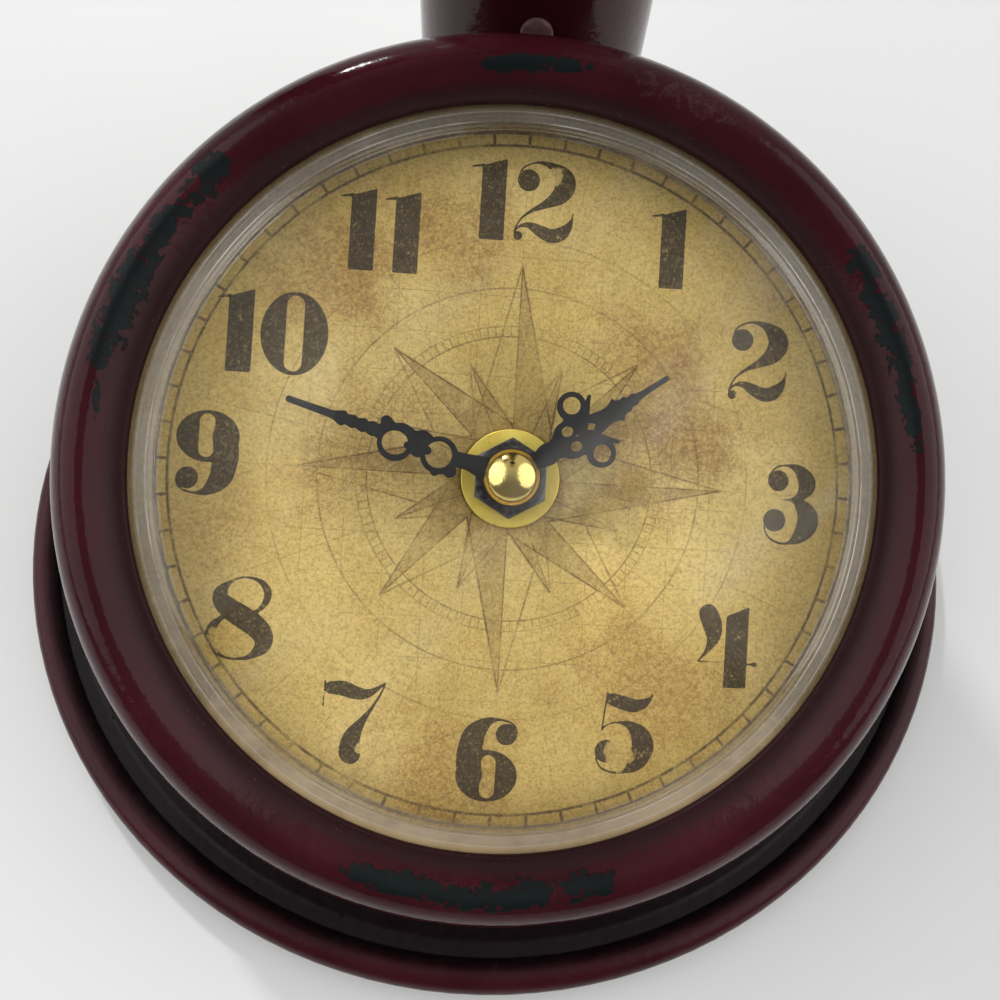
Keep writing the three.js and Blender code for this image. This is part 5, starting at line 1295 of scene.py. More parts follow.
def base_skin():
    """Spun pan: flat top with the service hole, a groove and a rolled bead."""
    bead = arc(BEAD_RADIUS, BEAD_HEIGHT, BEAD_ROLL, BEAD_ROLL, 150, -150, 40)
    top = [(86.6, BASE_TOP, 0), (87.4, BASE_TOP, 1.2), (GROOVE_RADIUS, GROOVE_HEIGHT, 1.6),
           (*bead[0], 0.5)]
    under = [(*bead[-1], 0), (88.4, 6.4, 1.0), (86.4, BASE_UNDER, 1.0), (80, BASE_UNDER, 0)]
    points, edge = softened([*top, *bead[1:-1], *under], 6)
    bead_share = [max(e, 0.55 if r > BEAD_RADIUS - 1 else e) for (r, _), e in zip(points, edge)]
    hole = [circle(SERVICE_HOLE + ease, z, y=SERVICE_Y) for ease, z in
            ((0, BASE_UNDER + HOLE_EASE), (0, BASE_TOP - HOLE_EASE), (HOLE_EASE, BASE_TOP),
             (HOLE_EASE, BASE_UNDER))]
    rings = [*hole[:3], *(circle(r, z) for r, z in points), hole[3]]
    return lofted("base_skin", rings, HERE, [0.5, 0.8, 0.6, *bead_share, 0.5])


show(base_skin(), BASE_PAINT, "frame", "paint", "base_pan")
show(spun("felt_pad", [(FELT_INSIDE, 0, 0.5), (FELT_OUTSIDE, 0, 0.7), (FELT_OUTSIDE, PLATE_LEVEL, 0.2),
                       (FELT_INSIDE, PLATE_LEVEL, 0.2)]), FELT, "frame", "felt", "felt_ring")


def screw_blank(name, head_radius, head_height, shank_radius, shank_length, slot):
    """A slotted screw in millimetres, its head upwards from 0 and its shank below."""
    dome = [(r, z, 0) for r, z in arc(0, head_height * 0.4, head_radius, head_height * 0.6, 0, 90, 8)]
    up = Matrix.Scale(1 / MM, 4)
    blank = spun(name, [(0, -shank_length, 0), (shank_radius, -shank_length, 0.2), (shank_radius, 0, 0),
                        (head_radius, 0, 0.1), *dome], up, SCREW_STEPS)
    half, deep = head_radius * 1.2, head_height * 0.55
    corners = [(x, y, z) for z in (deep, head_height * 1.5) for x, y in
               ((-half, -slot / 2), (half, -slot / 2), (half, slot / 2), (-half, slot / 2))]
    bar = piece_of("slot_bar", corners, BOX_FACES, up)
    return cut_from(name, blank, bar)


def on_circle(radius, angles):
    """Places on a circle, angles in degrees."""
    return [(radius * math.cos(a), radius * math.sin(a), 0) for a in (math.radians(d) for d in angles)]


BOTTOM_SCREW_CIRCLE = 69
BOTTOM_SCREW_ANGLES = (-120, -200, -290)


def bottom_screws():
    """Three screws that hold the bottom plate, heads down."""
    downward = Matrix.Translation((0, 0, PLATE_LEVEL)) @ Matrix.Rotation(math.pi, 4, "X")
    blank = screw_blank("bottom_screw_blank", head_radius=3, head_height=1.2, shank_radius=1.5,
                        shank_length=5.0, slot=0.7)
    return grown("bottom_screws", PIECES_ON_POINTS, downward,
                 on_circle(BOTTOM_SCREW_CIRCLE, BOTTOM_SCREW_ANGLES), [blank],
                 Piece=blank, Turn_Seed=4, Finish=STEEL)


show(bottom_screws(), STEEL, "frame", "steel", "bottom_screw_1", "bottom_screw_2", "bottom_screw_3")

CASE_RADIUS, CASE_BORE, CASE_FOOT_BORE = 64, 62.5, 57
CASE_FOOT, CASE_FLOOR, CASE_SIDE = 9.8, 11.3, 14
CASE_RIM_DEPTH = 14.4


def case_skin():
    """Upright drum, cut along the dial's incline at the top, with a turned-in foot."""
    slope = math.tan(DIAL_TILT)
    lowest = CLOCK_MIDDLE.z - CASE_RIM_DEPTH / math.cos(DIAL_TILT)

    def level(radius, height):
        return circle(radius, height, y=CASE_Y)

    def inclined(radius, drop):
        ring = level(radius, 0)
        ring[:, 2] = lowest + slope * (ring[:, 1] - CLOCK_MIDDLE.y) - drop
        return ring

    outer = [(CASE_FOOT_BORE, CASE_FOOT), (CASE_RADIUS - 0.6, CASE_FOOT), (CASE_RADIUS - 0.15, 9.98),
             (CASE_RADIUS, 10.4), (CASE_RADIUS, 11.0), (CASE_RADIUS, CASE_SIDE)]
    rim = [(CASE_RADIUS, 0.8), (CASE_RADIUS, 0.2), (CASE_RADIUS - 0.2, 0), (CASE_BORE + 0.2, 0),
           (CASE_BORE, 0.2)]
    inner = [(CASE_BORE, CASE_SIDE), (CASE_BORE, 12.0), (CASE_BORE - 0.7, CASE_FLOOR),
             (CASE_FOOT_BORE, CASE_FLOOR)]
    rings = [level(*at) for at in outer] + [inclined(*at) for at in rim] + [level(*at) for at in inner]
    edge = [0, 0.6, 1, 0.6, 0, 0, 0, 0.8, 1, 0.8, 0, 0, 0, 0, 0]
    return lofted("case_skin", rings, HERE, edge)


show(case_skin(), PAINT, "frame", "paint", "case_wall")


# Clock front: radii from the dial's axis, heights above the tilted plane through the clock's middle

BEZEL_RADIUS, BEZEL_OPENING, BEZEL_WALL = 74, 60, 1.2
CREST_RADIUS, CREST_HEIGHT = 66.5, 2.6
SIDE_HEIGHT = -10.6
FOOT_RADIUS, FOOT_CURL = 71.5, 3.2
LIP_RADIUS, LIP_HEIGHT, LIP_UNDER = 60.3, -0.1, -1.2


def bezel_skin():
    """Rolled bezel: curled foot, wide roll, and a smooth slope down to the opening."""
    wide, high = BEZEL_RADIUS - CREST_RADIUS, CREST_HEIGHT - SIDE_HEIGHT
    foot = arc(FOOT_RADIUS, SIDE_HEIGHT, BEZEL_RADIUS - FOOT_RADIUS, FOOT_CURL, -90, 0, 8)
    roll = arc(CREST_RADIUS, SIDE_HEIGHT, wide, high, 0, 90, 26)
    slope = [(CREST_RADIUS + (LIP_RADIUS - CREST_RADIUS) * t,
              CREST_HEIGHT + (LIP_HEIGHT - CREST_HEIGHT) * t * t * (3 - 2 * t))
             for t in np.linspace(0, 1, 15)[1:-1]]
    lip = [(LIP_RADIUS, LIP_HEIGHT, 0.3), (BEZEL_OPENING, -0.5, 0), (BEZEL_OPENING, LIP_UNDER, 0.3)]
    inside = [(62.9, LIP_UNDER, 0.4), *arc(CREST_RADIUS, LIP_UNDER, 3.6, 2.6, 180, 90, 6)[1:],
              *arc(CREST_RADIUS, SIDE_HEIGHT, wide - BEZEL_WALL, high - BEZEL_WALL, 90, 0, 14)[1:],
              (FOOT_RADIUS, -12.6, 0.4)]
    return spun("bezel_skin", [*foot, *roll[1:], *slope, *lip, *inside], CLOCK_SEAT, RIM_STEPS)


show(bezel_skin(), BEZEL_PAINT, "frame", "paint", "bezel")

LENS_RADIUS, SHOULDER_RADIUS, DOME_RADIUS = 68.3, 57.5, 56
FLANGE_TOP, FLANGE_UNDER = -1.5, -3.1
DOME_FOOT, DOME_RISE, DOME_WALL = -0.9, 3.1, 1.6


def lens_skin():
    """Clear dome on a flat flange with a small shoulder."""
    def dome(foot):
        return [(r, foot + DOME_RISE * (1 - (r / DOME_RADIUS) ** 2))
                for r in np.linspace(DOME_RADIUS, 0, 22)]

    top = [(LENS_RADIUS, FLANGE_UNDER, 0.3), (LENS_RADIUS, FLANGE_TOP, 0.3),
           (SHOULDER_RADIUS, FLANGE_TOP, 0.35), *dome(DOME_FOOT)]
    under = [*dome(DOME_FOOT - DOME_WALL)[::-1], (SHOULDER_RADIUS, FLANGE_UNDER, 0.3)]
    points, edge = softened(top, 4)
    below, below_edge = softened(under, 4)
    rings = [circle(max(r, 0), z) for r, z in [*points, *below]]
    return lofted("lens_skin", rings, CLOCK_SEAT, [*edge, *below_edge])


show(lens_skin(), CLEAR, "frame", "lens_plastic", "lens")

# Numerals on a height of 1: strokes are (x, y, half width), a single point is a ball
DIGITS = {
    "1": {"solid": [[(0.14, 0), (0.44, 0), (0.44, 1), (0.14, 0.9)],
                    [(0, 0.885), (0.02, 0.87), (0.16, 0.885), (0.16, 0.925)]], "width": 0.44},
    "2": {"strokes": [
        [(0.18, 0.76, 0.135)],
        [(0.055, 0.74, 0.012), (0.10, 0.90, 0.012), (0.27, 0.985, 0.014), (0.45, 0.955, 0.045),
         (0.60, 0.84, 0.11), (0.63, 0.72, 0.125), (0.56, 0.59, 0.10), (0.40, 0.48, 0.05),
         (0.22, 0.38, 0.02), (0.10, 0.27, 0.012), (0.045, 0.14, 0.012), (0.05, 0.08, 0.012)],
        [(0.085, 0.075, 0.055)],
        [(0.06, 0.15, 0.010), (0.12, 0.20, 0.02), (0.22, 0.21, 0.04), (0.34, 0.155, 0.07),
         (0.48, 0.10, 0.085), (0.60, 0.13, 0.085), (0.69, 0.22, 0.05), (0.735, 0.33, 0.012),
         (0.745, 0.40, 0.008)]], "width": 0.75},
    "3": {"strokes": [
        [(0.17, 0.79, 0.13)], [(0.145, 0.30, 0.14)],
        [(0.05, 0.85, 0.010), (0.14, 0.955, 0.012), (0.28, 0.985, 0.016), (0.42, 0.94, 0.06),
         (0.52, 0.82, 0.105), (0.53, 0.72, 0.10), (0.45, 0.61, 0.05), (0.33, 0.565, 0.014),
         (0.24, 0.56, 0.010)],
        [(0.33, 0.565, 0.012), (0.44, 0.53, 0.06), (0.55, 0.40, 0.12), (0.56, 0.26, 0.13),
         (0.47, 0.12, 0.085), (0.34, 0.03, 0.022), (0.20, 0.025, 0.014), (0.07, 0.10, 0.011),
         (0.015, 0.22, 0.010)]], "width": 0.69},
    "4": {"solid": [[(0.36, 0), (0.64, 0), (0.64, 1), (0.36, 0.88)]],
          "strokes": [
        [(0.13, 0.90, 0.115), (0.19, 0.76, 0.12), (0.21, 0.62, 0.085), (0.16, 0.48, 0.04),
         (0.08, 0.37, 0.014), (0.03, 0.315, 0.010)],
        [(0.03, 0.31, 0.010), (0.30, 0.31, 0.010), (0.66, 0.30, 0.012), (0.74, 0.30, 0.03)]],
          "width": 0.77},
    "5": {"strokes": [
        [(0.19, 0.90, 0.075), (0.32, 0.865, 0.085), (0.46, 0.835, 0.08), (0.58, 0.87, 0.055),
         (0.66, 0.94, 0.02), (0.68, 0.985, 0.01)],
        [(0.13, 0.98, 0.012), (0.10, 0.75, 0.012), (0.08, 0.52, 0.012)],
        [(0.08, 0.54, 0.010), (0.16, 0.60, 0.01), (0.28, 0.625, 0.014), (0.42, 0.595, 0.05),
         (0.55, 0.48, 0.11), (0.59, 0.33, 0.135), (0.52, 0.15, 0.10), (0.38, 0.04, 0.03),
         (0.22, 0.02, 0.015), (0.09, 0.07, 0.012), (0.02, 0.18, 0.010)],
        [(0.145, 0.27, 0.14)]], "width": 0.73},
    "6": {"strokes": [
        [(0.60, 0.965, 0.010), (0.48, 0.99, 0.016), (0.34, 0.95, 0.06), (0.20, 0.80, 0.13),
         (0.155, 0.60, 0.15), (0.15, 0.45, 0.15), (0.18, 0.30, 0.14)],
        [(0.585, 0.815, 0.13)],
        [(0.48, 0.99, 0.012), (0.60, 0.975, 0.01), (0.69, 0.91, 0.01), (0.715, 0.83, 0.01)]],
          "bowl": ((0.37, 0.31, 0.37, 0.31), (0.385, 0.30, 0.09, 0.26)), "width": 0.74},
    "7": {"strokes": [
        [(0.03, 0.98, 0.012), (0.02, 0.68, 0.012)],
        [(0.10, 0.90, 0.075), (0.25, 0.895, 0.09), (0.42, 0.845, 0.075), (0.55, 0.85, 0.05),
         (0.68, 0.93, 0.02), (0.745, 0.985, 0.010)],
        [(0.745, 0.985, 0.010), (0.70, 0.86, 0.012), (0.60, 0.68, 0.02), (0.48, 0.50, 0.05),
         (0.385, 0.33, 0.10), (0.36, 0.17, 0.125), (0.375, 0.12, 0.12)]], "width": 0.75},
    "8": {"strokes": [
        [(0.235, 0.90, 0.03), (0.16, 0.80, 0.075), (0.17, 0.70, 0.10), (0.28, 0.60, 0.125),
         (0.45, 0.50, 0.135), (0.60, 0.40, 0.13), (0.685, 0.29, 0.115), (0.68, 0.18, 0.09),
         (0.60, 0.09, 0.05), (0.50, 0.03, 0.025)],
        [(0.235, 0.90, 0.025), (0.34, 0.965, 0.014), (0.48, 0.985, 0.014), (0.62, 0.94, 0.03),
         (0.70, 0.84, 0.045), (0.695, 0.72, 0.04), (0.62, 0.61, 0.025), (0.52, 0.55, 0.02)],
        [(0.32, 0.55, 0.014), (0.18, 0.49, 0.03), (0.085, 0.38, 0.055), (0.06, 0.26, 0.06),
         (0.10, 0.14, 0.045), (0.20, 0.05, 0.02), (0.34, 0.015, 0.014), (0.50, 0.03, 0.025)]],
          "width": 0.80},
    "0": {"bowl": ((0.4, 0.5, 0.4, 0.5), (0.4, 0.5, 0.105, 0.455)), "width": 0.8},
}
NUMERAL_HEIGHT = 14.25
NUMERAL_PLACES = {
    "12": (-0.81, 48.29), "1": (25.08, 42.09), "2": (42.25, 23.18), "3": (49.75, -1.64),
    "4": (39.69, -27.15), "5": (22.54, -42.90), "6": (-1.09, -48.52), "7": (-24.42, -43.01),
    "8": (-44.23, -26.31), "9": (-51.47, 1.39), "10": (-41.97, 22.48), "11": (-25.04, 41.30),
}
DIGIT_SPACE = 0.09
DIGIT_BOX = (-0.06, -0.06, 0.9, 1.06)
DIGIT_STEP = 0.0075
OUTLINE_STEP = 0.2


def digit_field(digit):
    """The field of one digit on a height of 1. Nine is a six turned over."""
    spec = DIGITS["6" if digit == "9" else digit]
    discs = [disc for line in spec.get("strokes", []) for disc in stroke(line)]

    def field(x, y):
        if digit == "9":
            x, y = spec["width"] - x, 1 - y
        f = discs_field(x, y, discs)
        for corners in spec.get("solid", []):
            f = np.minimum(f, polygon_field(x, y, corners))
        if "bowl" in spec:
            (ox, oy, ow, oh), (ix, iy, iw, ih) = spec["bowl"]
            outer = (np.hypot((x - ox) / ow, (y - oy) / oh) - 1) * min(ow, oh)
            slot = np.hypot(x - ix, np.maximum(np.abs(y - iy) - (ih - iw), 0)) - iw
            f = np.minimum(f, np.maximum(outer, -slot))
        return f

    return field, spec["width"]


def numeral_lines():
    """Outlines of all numerals, in millimetres on the dial."""
    shapes = {d: outlines(digit_field(d)[0], DIGIT_BOX, DIGIT_STEP) for d in "0123456789"}
    lines = []
    for label, (x, y) in NUMERAL_PLACES.items():
        widths = [digit_field(d)[1] for d in label]
        left = -(sum(widths) + DIGIT_SPACE * (len(label) - 1)) / 2
        for digit, width in zip(label, widths):
            for loop in shapes[digit]:
                on_dial = (loop + (left, -0.5)) * NUMERAL_HEIGHT + (x, y)
                lines.append(evened(on_dial, OUTLINE_STEP))
            left += width + DIGIT_SPACE
    return lines


DIAL_RADIUS, DIAL_BORE = 67, 4.3
DIAL_FACE, DIAL_BACK = -11.5, -12.3
DIAL_EASE = 0.1


def dial_skin():
    """The dial disc, its face cut along the numerals, which are marked as ink."""
    numerals = numeral_lines()
    rim_radius, bore_radius = DIAL_RADIUS - DIAL_EASE, DIAL_BORE + DIAL_EASE
    rim = circle(rim_radius, 0, RIM_STEPS)[:, :2]
    bore = circle(bore_radius, 0, BORE_STEPS)[:, :2]

    def on_disc(middles):
        away = np.hypot(*middles.T)
        return (away < rim_radius) & (away > DIAL_BORE + DIAL_EASE / 2)

    flat, faces, middles = filled([rim, bore, *numerals])
    keep = on_disc(middles)
    printed = within(middles[keep], numerals)
    form = bmesh.new()
    top = [form.verts.new((x, y, DIAL_FACE)) for x, y in flat]
    ink = form.faces.layers.float.new("ink")
    for face, mark in zip(faces[keep], printed):
        made = form.faces.new([top[i] for i in face])
        made[ink] = float(mark)
    under = []
    for loop, first, radius, eased in ((rim, 0, DIAL_RADIUS, rim_radius),
                                       (bore, len(rim), DIAL_BORE, bore_radius)):
        n = len(loop)
        tiers = [top[first:first + n]]
        for r, z in ((radius, DIAL_FACE - DIAL_EASE), (radius, DIAL_BACK + DIAL_EASE),
                     (eased, DIAL_BACK)):
            tiers.append([form.verts.new((x * r / eased, y * r / eased, z)) for x, y in loop])
        for a, b in zip(tiers, tiers[1:]):
            for i in range(n):
                k = (i + 1) % n
                form.faces.new((a[i], a[k], b[k], b[i]))
        under += tiers[-1]
    _, back_faces, back_middles = filled([rim, bore])
    for face in back_faces[on_disc(back_middles)]:
        form.faces.new([under[i] for i in face])
    return settled("dial_skin", bpy.data.meshes.new("dial_skin"), form, CLOCK_SEAT)


show(dial_skin(), DIAL_PRINT, "frame", "dial_print", "dial_plate")

WASHER_RADIUS, WASHER_UNDER, WASHER_TOP = 8.5, -11.2, -10.4
show(spun("washer_skin", [(DIAL_BORE, WASHER_UNDER, 0.1), (WASHER_RADIUS, WASHER_UNDER, 0.12),
                          (WASHER_RADIUS, WASHER_TOP, 0.25), (DIAL_BORE, WASHER_TOP, 0.15)],
          CLOCK_SEAT, MIDDLE_STEPS), WASHER_BRASS, "frame", "brass", "brass_washer")

NUT_HALF_FLAT, NUT_FACE_RADIUS = 6, 5.85
NUT_TOP, NUT_UNDER = -7.7, -10.1
NUT_EASE = 0.4
CORNER_SLOPE = 0.577


def nut_skin():
    """Hexagon nut with its corners turned off top and bottom."""
    angles = np.arange(MIDDLE_STEPS) * 2 * math.pi / MIDDLE_STEPS
    flats = NUT_HALF_FLAT / np.cos((angles + math.pi / 6) % (math.pi / 3) - math.pi / 6)
    drop = (flats - (NUT_HALF_FLAT - 0.1)) * CORNER_SLOPE

    def hexagon(heights):
        return np.stack([flats * np.cos(angles), flats * np.sin(angles), heights], -1)

    def ring(radius, height):
        return circle(radius, height, MIDDLE_STEPS)

    rings = [ring(DIAL_BORE, NUT_UNDER + NUT_EASE), ring(DIAL_BORE, NUT_TOP - NUT_EASE),
             ring(DIAL_BORE + NUT_EASE, NUT_TOP), ring(NUT_FACE_RADIUS, NUT_TOP),
             hexagon(NUT_TOP - drop), hexagon(NUT_TOP - 0.15 - drop),
             hexagon(NUT_UNDER + 0.15 + drop), hexagon(NUT_UNDER + drop),
             ring(NUT_FACE_RADIUS, NUT_UNDER), ring(DIAL_BORE + NUT_EASE, NUT_UNDER)]
    return lofted("nut_skin", rings, CLOCK_SEAT, [0.2, 0.3, 0.7, 0.6, 1, 0.7, 0.7, 1, 0.5, 0.3])


show(nut_skin(), NUT_STEEL, "frame", "nut_steel", "hex_nut")


# Hands, drawn along +Y in millimetres from the arbor: strokes are (along, across, half width)

def waved(profile):
    """Corners of a blade from its half widths along the length."""
    right = [(half, along) for along, half in profile]
    return right + [(-x, along) for x, along in right[::-1]]


HOUR_BLADE = [(16.6, 1.9), (17.6, 1.75), (18.6, 1.5), (19.8, 1.45), (20.7, 1.75), (21.4, 2.15),
              (21.75, 1.5), (22.6, 1.3), (23.2, 1.45), (23.5, 1.0), (24.3, 1.0), (24.8, 1.1),
              (25.1, 0.72), (26.4, 0.55), (28.5, 0.5), (31.1, 0.46)]
HOUR_STEM = [(0, 0, 2.3), (4.0, 0, 1.3), (5.6, 0, 1.05), (6.7, 0, 1.75), (7.6, 0, 1.85), (8.5, 0, 1.35),
             (9.6, 0, 1.9), (10.6, 0, 2.3)]
HOUR_SIDE = [
    [(10.6, 1.0, 1.5), (11.4, 1.6, 1.6), (12.6, 1.7, 1.55), (14.0, 1.3, 1.3), (15.4, 0.9, 1.0),
     (16.6, 0.8, 0.9)],
    [(12.6, 2.6, 0.75), (13.6, 3.2, 0.8)],
    [(15.2, 1.3, 0.8), (16.1, 2.1, 0.62), (16.9, 2.9, 0.5), (17.6, 3.7, 0.42), (18.4, 4.5, 0.3)],
    [(15, 4.6, 2.5)],
]
MINUTE_BLADE = [(22.6, 1.3), (23.3, 0.95), (23.9, 1.25), (24.5, 1.1), (25.0, 0.85), (25.5, 1.2),
                (26.2, 1.0), (26.8, 0.8), (27.2, 1.15), (27.9, 1.0), (28.5, 0.85), (29.0, 1.3),
                (29.6, 1.15), (30.3, 0.85), (31.0, 0.66), (34, 0.6), (38.1, 0.54)]
MINUTE_STROKES = [
    [(0, 0, 2.6), (5, 0, 1.8), (7.5, 0, 1.35), (9.6, 0.2, 1.3)],
    [(14.5, -1.0, 1.0), (15.8, -1.6, 0.95), (17.2, -1.1, 0.9), (19.3, -1.7, 0.85), (20.8, -1.3, 0.8),
     (22.3, -1.9, 0.95)],
    [(21.8, -0.6, 1.0), (22.8, 0.0, 1.2)],
    [(9.9, 2.4, 1.1)], [(10.6, 1.4, 1.0)], [(16.0, 0.7, 1.35)], [(12.2, 3.3, 0.7)], [(38.2, 0, 0.56)],
]
HOUR_BORE, MINUTE_BORE = 2.7, 1.55


def hour_outline():
    """Pierced spade: side loops with barbs, two ovals, a diamond and a slim tip."""
    discs = [(0, 0, 4.2), (0, 31.12, 0.46)]
    discs += [(across, along, half) for along, across, half in stroke(HOUR_STEM)]
    for side in (1, -1):
        discs += [(across * side, along, half)
                  for line in HOUR_SIDE for along, across, half in stroke(line)]
    blade = waved(HOUR_BLADE)

    def field(x, y):
        side = np.abs(x)
        ovals = np.hypot(side - 1.45, (y - 12.1) * 0.85) - 0.85
        loops = np.hypot(side - 4.75, y - 15.1) - 1.5
        diamond = (side * 1.1 + np.abs(y - 16)) - 0.85
        bore = np.hypot(x, y) - HOUR_BORE
        holes = np.minimum.reduce([ovals, loops, diamond, bore])
        return np.maximum(np.minimum(discs_field(x, y, discs), polygon_field(x, y, blade)), -holes)

    return field, (-9, -6, 9, 33)


def minute_outline():
    """Two open loops on a waved bar with a long slim tip."""
    discs = [(0, 0, 4.9), (-0.5, 12.4, 3.1), (-1.0, 19.8, 2.95)]
    discs += [(-across, along, half)
              for line in MINUTE_STROKES for along, across, half in stroke(line)]
    blade = waved(MINUTE_BLADE)

    def field(x, y):
        lower = np.hypot(x + 0.45, y - 12.5) - 2.2
        upper = np.hypot(x + 0.95, (y - 19.85) * 0.9) - 1.95
        holes = np.minimum.reduce([lower, upper, np.hypot(x, y) - MINUTE_BORE])
        balls = np.minimum(np.hypot(x + 0.4, y - 14.5) - 0.7, np.hypot(x + 0.7, y - 17.8) - 0.6)
        bar = np.minimum(discs_field(x, y, discs), polygon_field(x, y, blade))
        return np.minimum(np.maximum(bar, -holes), balls)

    return field, (-6, -6, 6, 40)


HAND_STEP, HAND_EASE, HAND_THICKNESS = 0.07, 0.1, 0.6


def hand_skin(name, outline, low, degrees):
    """A hand cut from sheet, set at degrees clockwise from twelve."""
    field, box = outline()
    seat = CLOCK_SEAT @ Matrix.Rotation(-math.radians(degrees), 4, "Z")
    return plate(name, field, box, HAND_STEP, low, low + HAND_THICKNESS, HAND_EASE, seat)


show(hand_skin("hour_hand_skin", hour_outline, -6.7, 54), HAND_BLACK, "hour_work", "hand_black",
     "hour_hand")
show(hand_skin("minute_hand_skin", minute_outline, -4.9, 286), HAND_BLACK, "minute_work", "hand_black",
     "minute_hand")

CAP_RADIUS, CAP_UNDER, CAP_SIDE, CAP_DOME = 4.6, -4.0, -3.5, 2.8
cap_dome = [(r, z, 0) for r, z in arc(0, CAP_SIDE, CAP_RADIUS, CAP_DOME, 0, 90, 18)]
show(spun("cap_skin", [(0, -2.9, 0), (MINUTE_BORE, -2.9, 0), (MINUTE_BORE, CAP_UNDER, 0.1),
                       (4.5, CAP_UNDER, 0.15), (CAP_RADIUS, -3.85, 0), *cap_dome],
          CLOCK_SEAT, MIDDLE_STEPS), CAP_BRASS, "minute_work", "brass", "hand_cap")


# Column

COLUMN_RADIUS, COLUMN_BORE = 22.5, 21
COLUMN_FOOT, COLUMN_TOP = 9.8, 230
COLUMN_BANDS = (60, 120, 180)
show(spun("column_skin", [(COLUMN_BORE, COLUMN_FOOT, 0.2), (COLUMN_RADIUS, COLUMN_FOOT, 0.4),
                          *((COLUMN_RADIUS, z, 0) for z in COLUMN_BANDS),
                          (COLUMN_RADIUS, COLUMN_TOP, 0.5), (COLUMN_BORE, COLUMN_TOP, 0.3)],
          COLUMN_SEAT), COLUMN_PAINT, "frame", "paint", "column_tube")

SCREW_HEAD, SCREW_SHANK, SCREW_LENGTH = 2.9, 1.5, 7
SCREW_HEIGHT = 77.7
SCREW_GAP = 0.3
SCREW_SEAT = (Matrix.Translation((0, COLUMN_Y - COLUMN_RADIUS - SCREW_GAP, SCREW_HEIGHT))
              @ Matrix.Rotation(math.pi / 2, 4, "X"))
screw_dome = [(r, z, 0) for r, z in arc(0, 0.25, SCREW_HEAD, 1.15, 0, 90, 12)]
show(spun("column_screw_skin", [(0, -SCREW_LENGTH, 0), (SCREW_SHANK, -SCREW_LENGTH, 0.2),
                                (SCREW_SHANK, 0, 0), (SCREW_HEAD, 0, 0.1), *screw_dome],
          SCREW_SEAT, SMALL_STEPS), SCREW_PAINT, "frame", "paint", "column_screw")

UPRIGHT_STEP = 0.25


def upright_plate(name, field, box, low, high, bevel, seat):
    """A plate standing on the middle plane, drawn as forward and up."""
    stand = Matrix(((0, 0, -1, 0), (-1, 0, 0, 0), (0, 1, 0, 0), (0, 0, 0, 1)))
    return plate(name, field, box, UPRIGHT_STEP, low, high, bevel, seat @ stand)


HEAD_FOOT, HEAD_TOP, HEAD_PLUG = 222, 247, 20.7
COLLAR_UNDER, COLLAR_TOP = 230.3, 234.3
NECK_RADIUS = 8
TONGUE_RADIUS, TONGUE_DROP, TONGUE_HALF = 8, 16, 4
PIVOT_HOLE = 2.8


def head_skin():
    """Flange with a flared neck, and the flat tongue that holds the pivot."""
    flare = [(r, z, 0) for r, z in arc(NECK_RADIUS + 9.5, COLLAR_TOP + 8, 9.5, 8, -90, -180, 14)]
    neck = spun("neck", [(0, HEAD_FOOT, 0), (HEAD_PLUG, HEAD_FOOT, 0.5), (HEAD_PLUG, COLLAR_UNDER, 0.0),
                         (COLUMN_RADIUS, COLLAR_UNDER, 1.9), (COLUMN_RADIUS, COLLAR_TOP, 1.9), *flare,
                         (NECK_RADIUS, HEAD_TOP, 0.6), (0, HEAD_TOP, 0)], COLUMN_SEAT, MIDDLE_STEPS)

    def tongue(x, y):
        low = polygon_field(x, y, [(-6.8, -4), (6.8, -4), (TONGUE_RADIUS, TONGUE_DROP),
                                   (-TONGUE_RADIUS, TONGUE_DROP)])
        away = np.hypot(x, y - TONGUE_DROP)
        return np.maximum(np.minimum(low, away - TONGUE_RADIUS), PIVOT_HOLE - away)

    blade = upright_plate("tongue", tongue, (-9, -5, 9, 25), -TONGUE_HALF, TONGUE_HALF, 0.6,
                          Matrix.Translation((0, COLUMN_Y, PIVOT_HEIGHT - TONGUE_DROP)))
    return fused("head_skin", [neck, blade])


show(head_skin(), PAINT, "frame", "paint", "head_block")


# Transmitter: heights are distances in front of the column's axis

EAR_RADIUS, EAR_THICKNESS, EAR_LOWS = 7, 3, (4.3, -7.3)
BRIDGE_BACK, BRIDGE_FRONT, BRIDGE_FOOT, BRIDGE_TOP = 15.45, 17.7, 5, 34
BRIDGE_HALF = 7.2


def yoke_skin():
    """Two ears on a bridge behind the cup."""
    front = [(BRIDGE_FRONT, BRIDGE_FOOT), (BRIDGE_FRONT, BRIDGE_TOP), (BRIDGE_BACK, BRIDGE_TOP)]
    ear = [(0, -EAR_RADIUS), *front, (-4.2, 5.6)]
    bar = [(BRIDGE_BACK, BRIDGE_FOOT), *front]

    def ear_field(x, y):
        blade = np.minimum(polygon_field(x, y, ear), np.hypot(x, y) - EAR_RADIUS)
        return np.maximum(blade, PIVOT_HOLE - np.hypot(x, y))

    def bar_field(x, y):
        return polygon_field(x, y, bar)

    seat = Matrix.Translation((0, COLUMN_Y, PIVOT_HEIGHT))
    ears = [upright_plate(f"ear_{i}", ear_field, (-8, -8, 19, 35), low, low + EAR_THICKNESS, 0.4, seat)
            for i, low in enumerate(EAR_LOWS)]
    bridge = upright_plate("bridge", bar_field, (14, 3, 19, 36), -BRIDGE_HALF, BRIDGE_HALF, 0.2, seat)
    return fused("yoke_skin", [*ears, bridge])


show(yoke_skin(), PAINT, "transmitter", "paint", "transmitter_yoke")

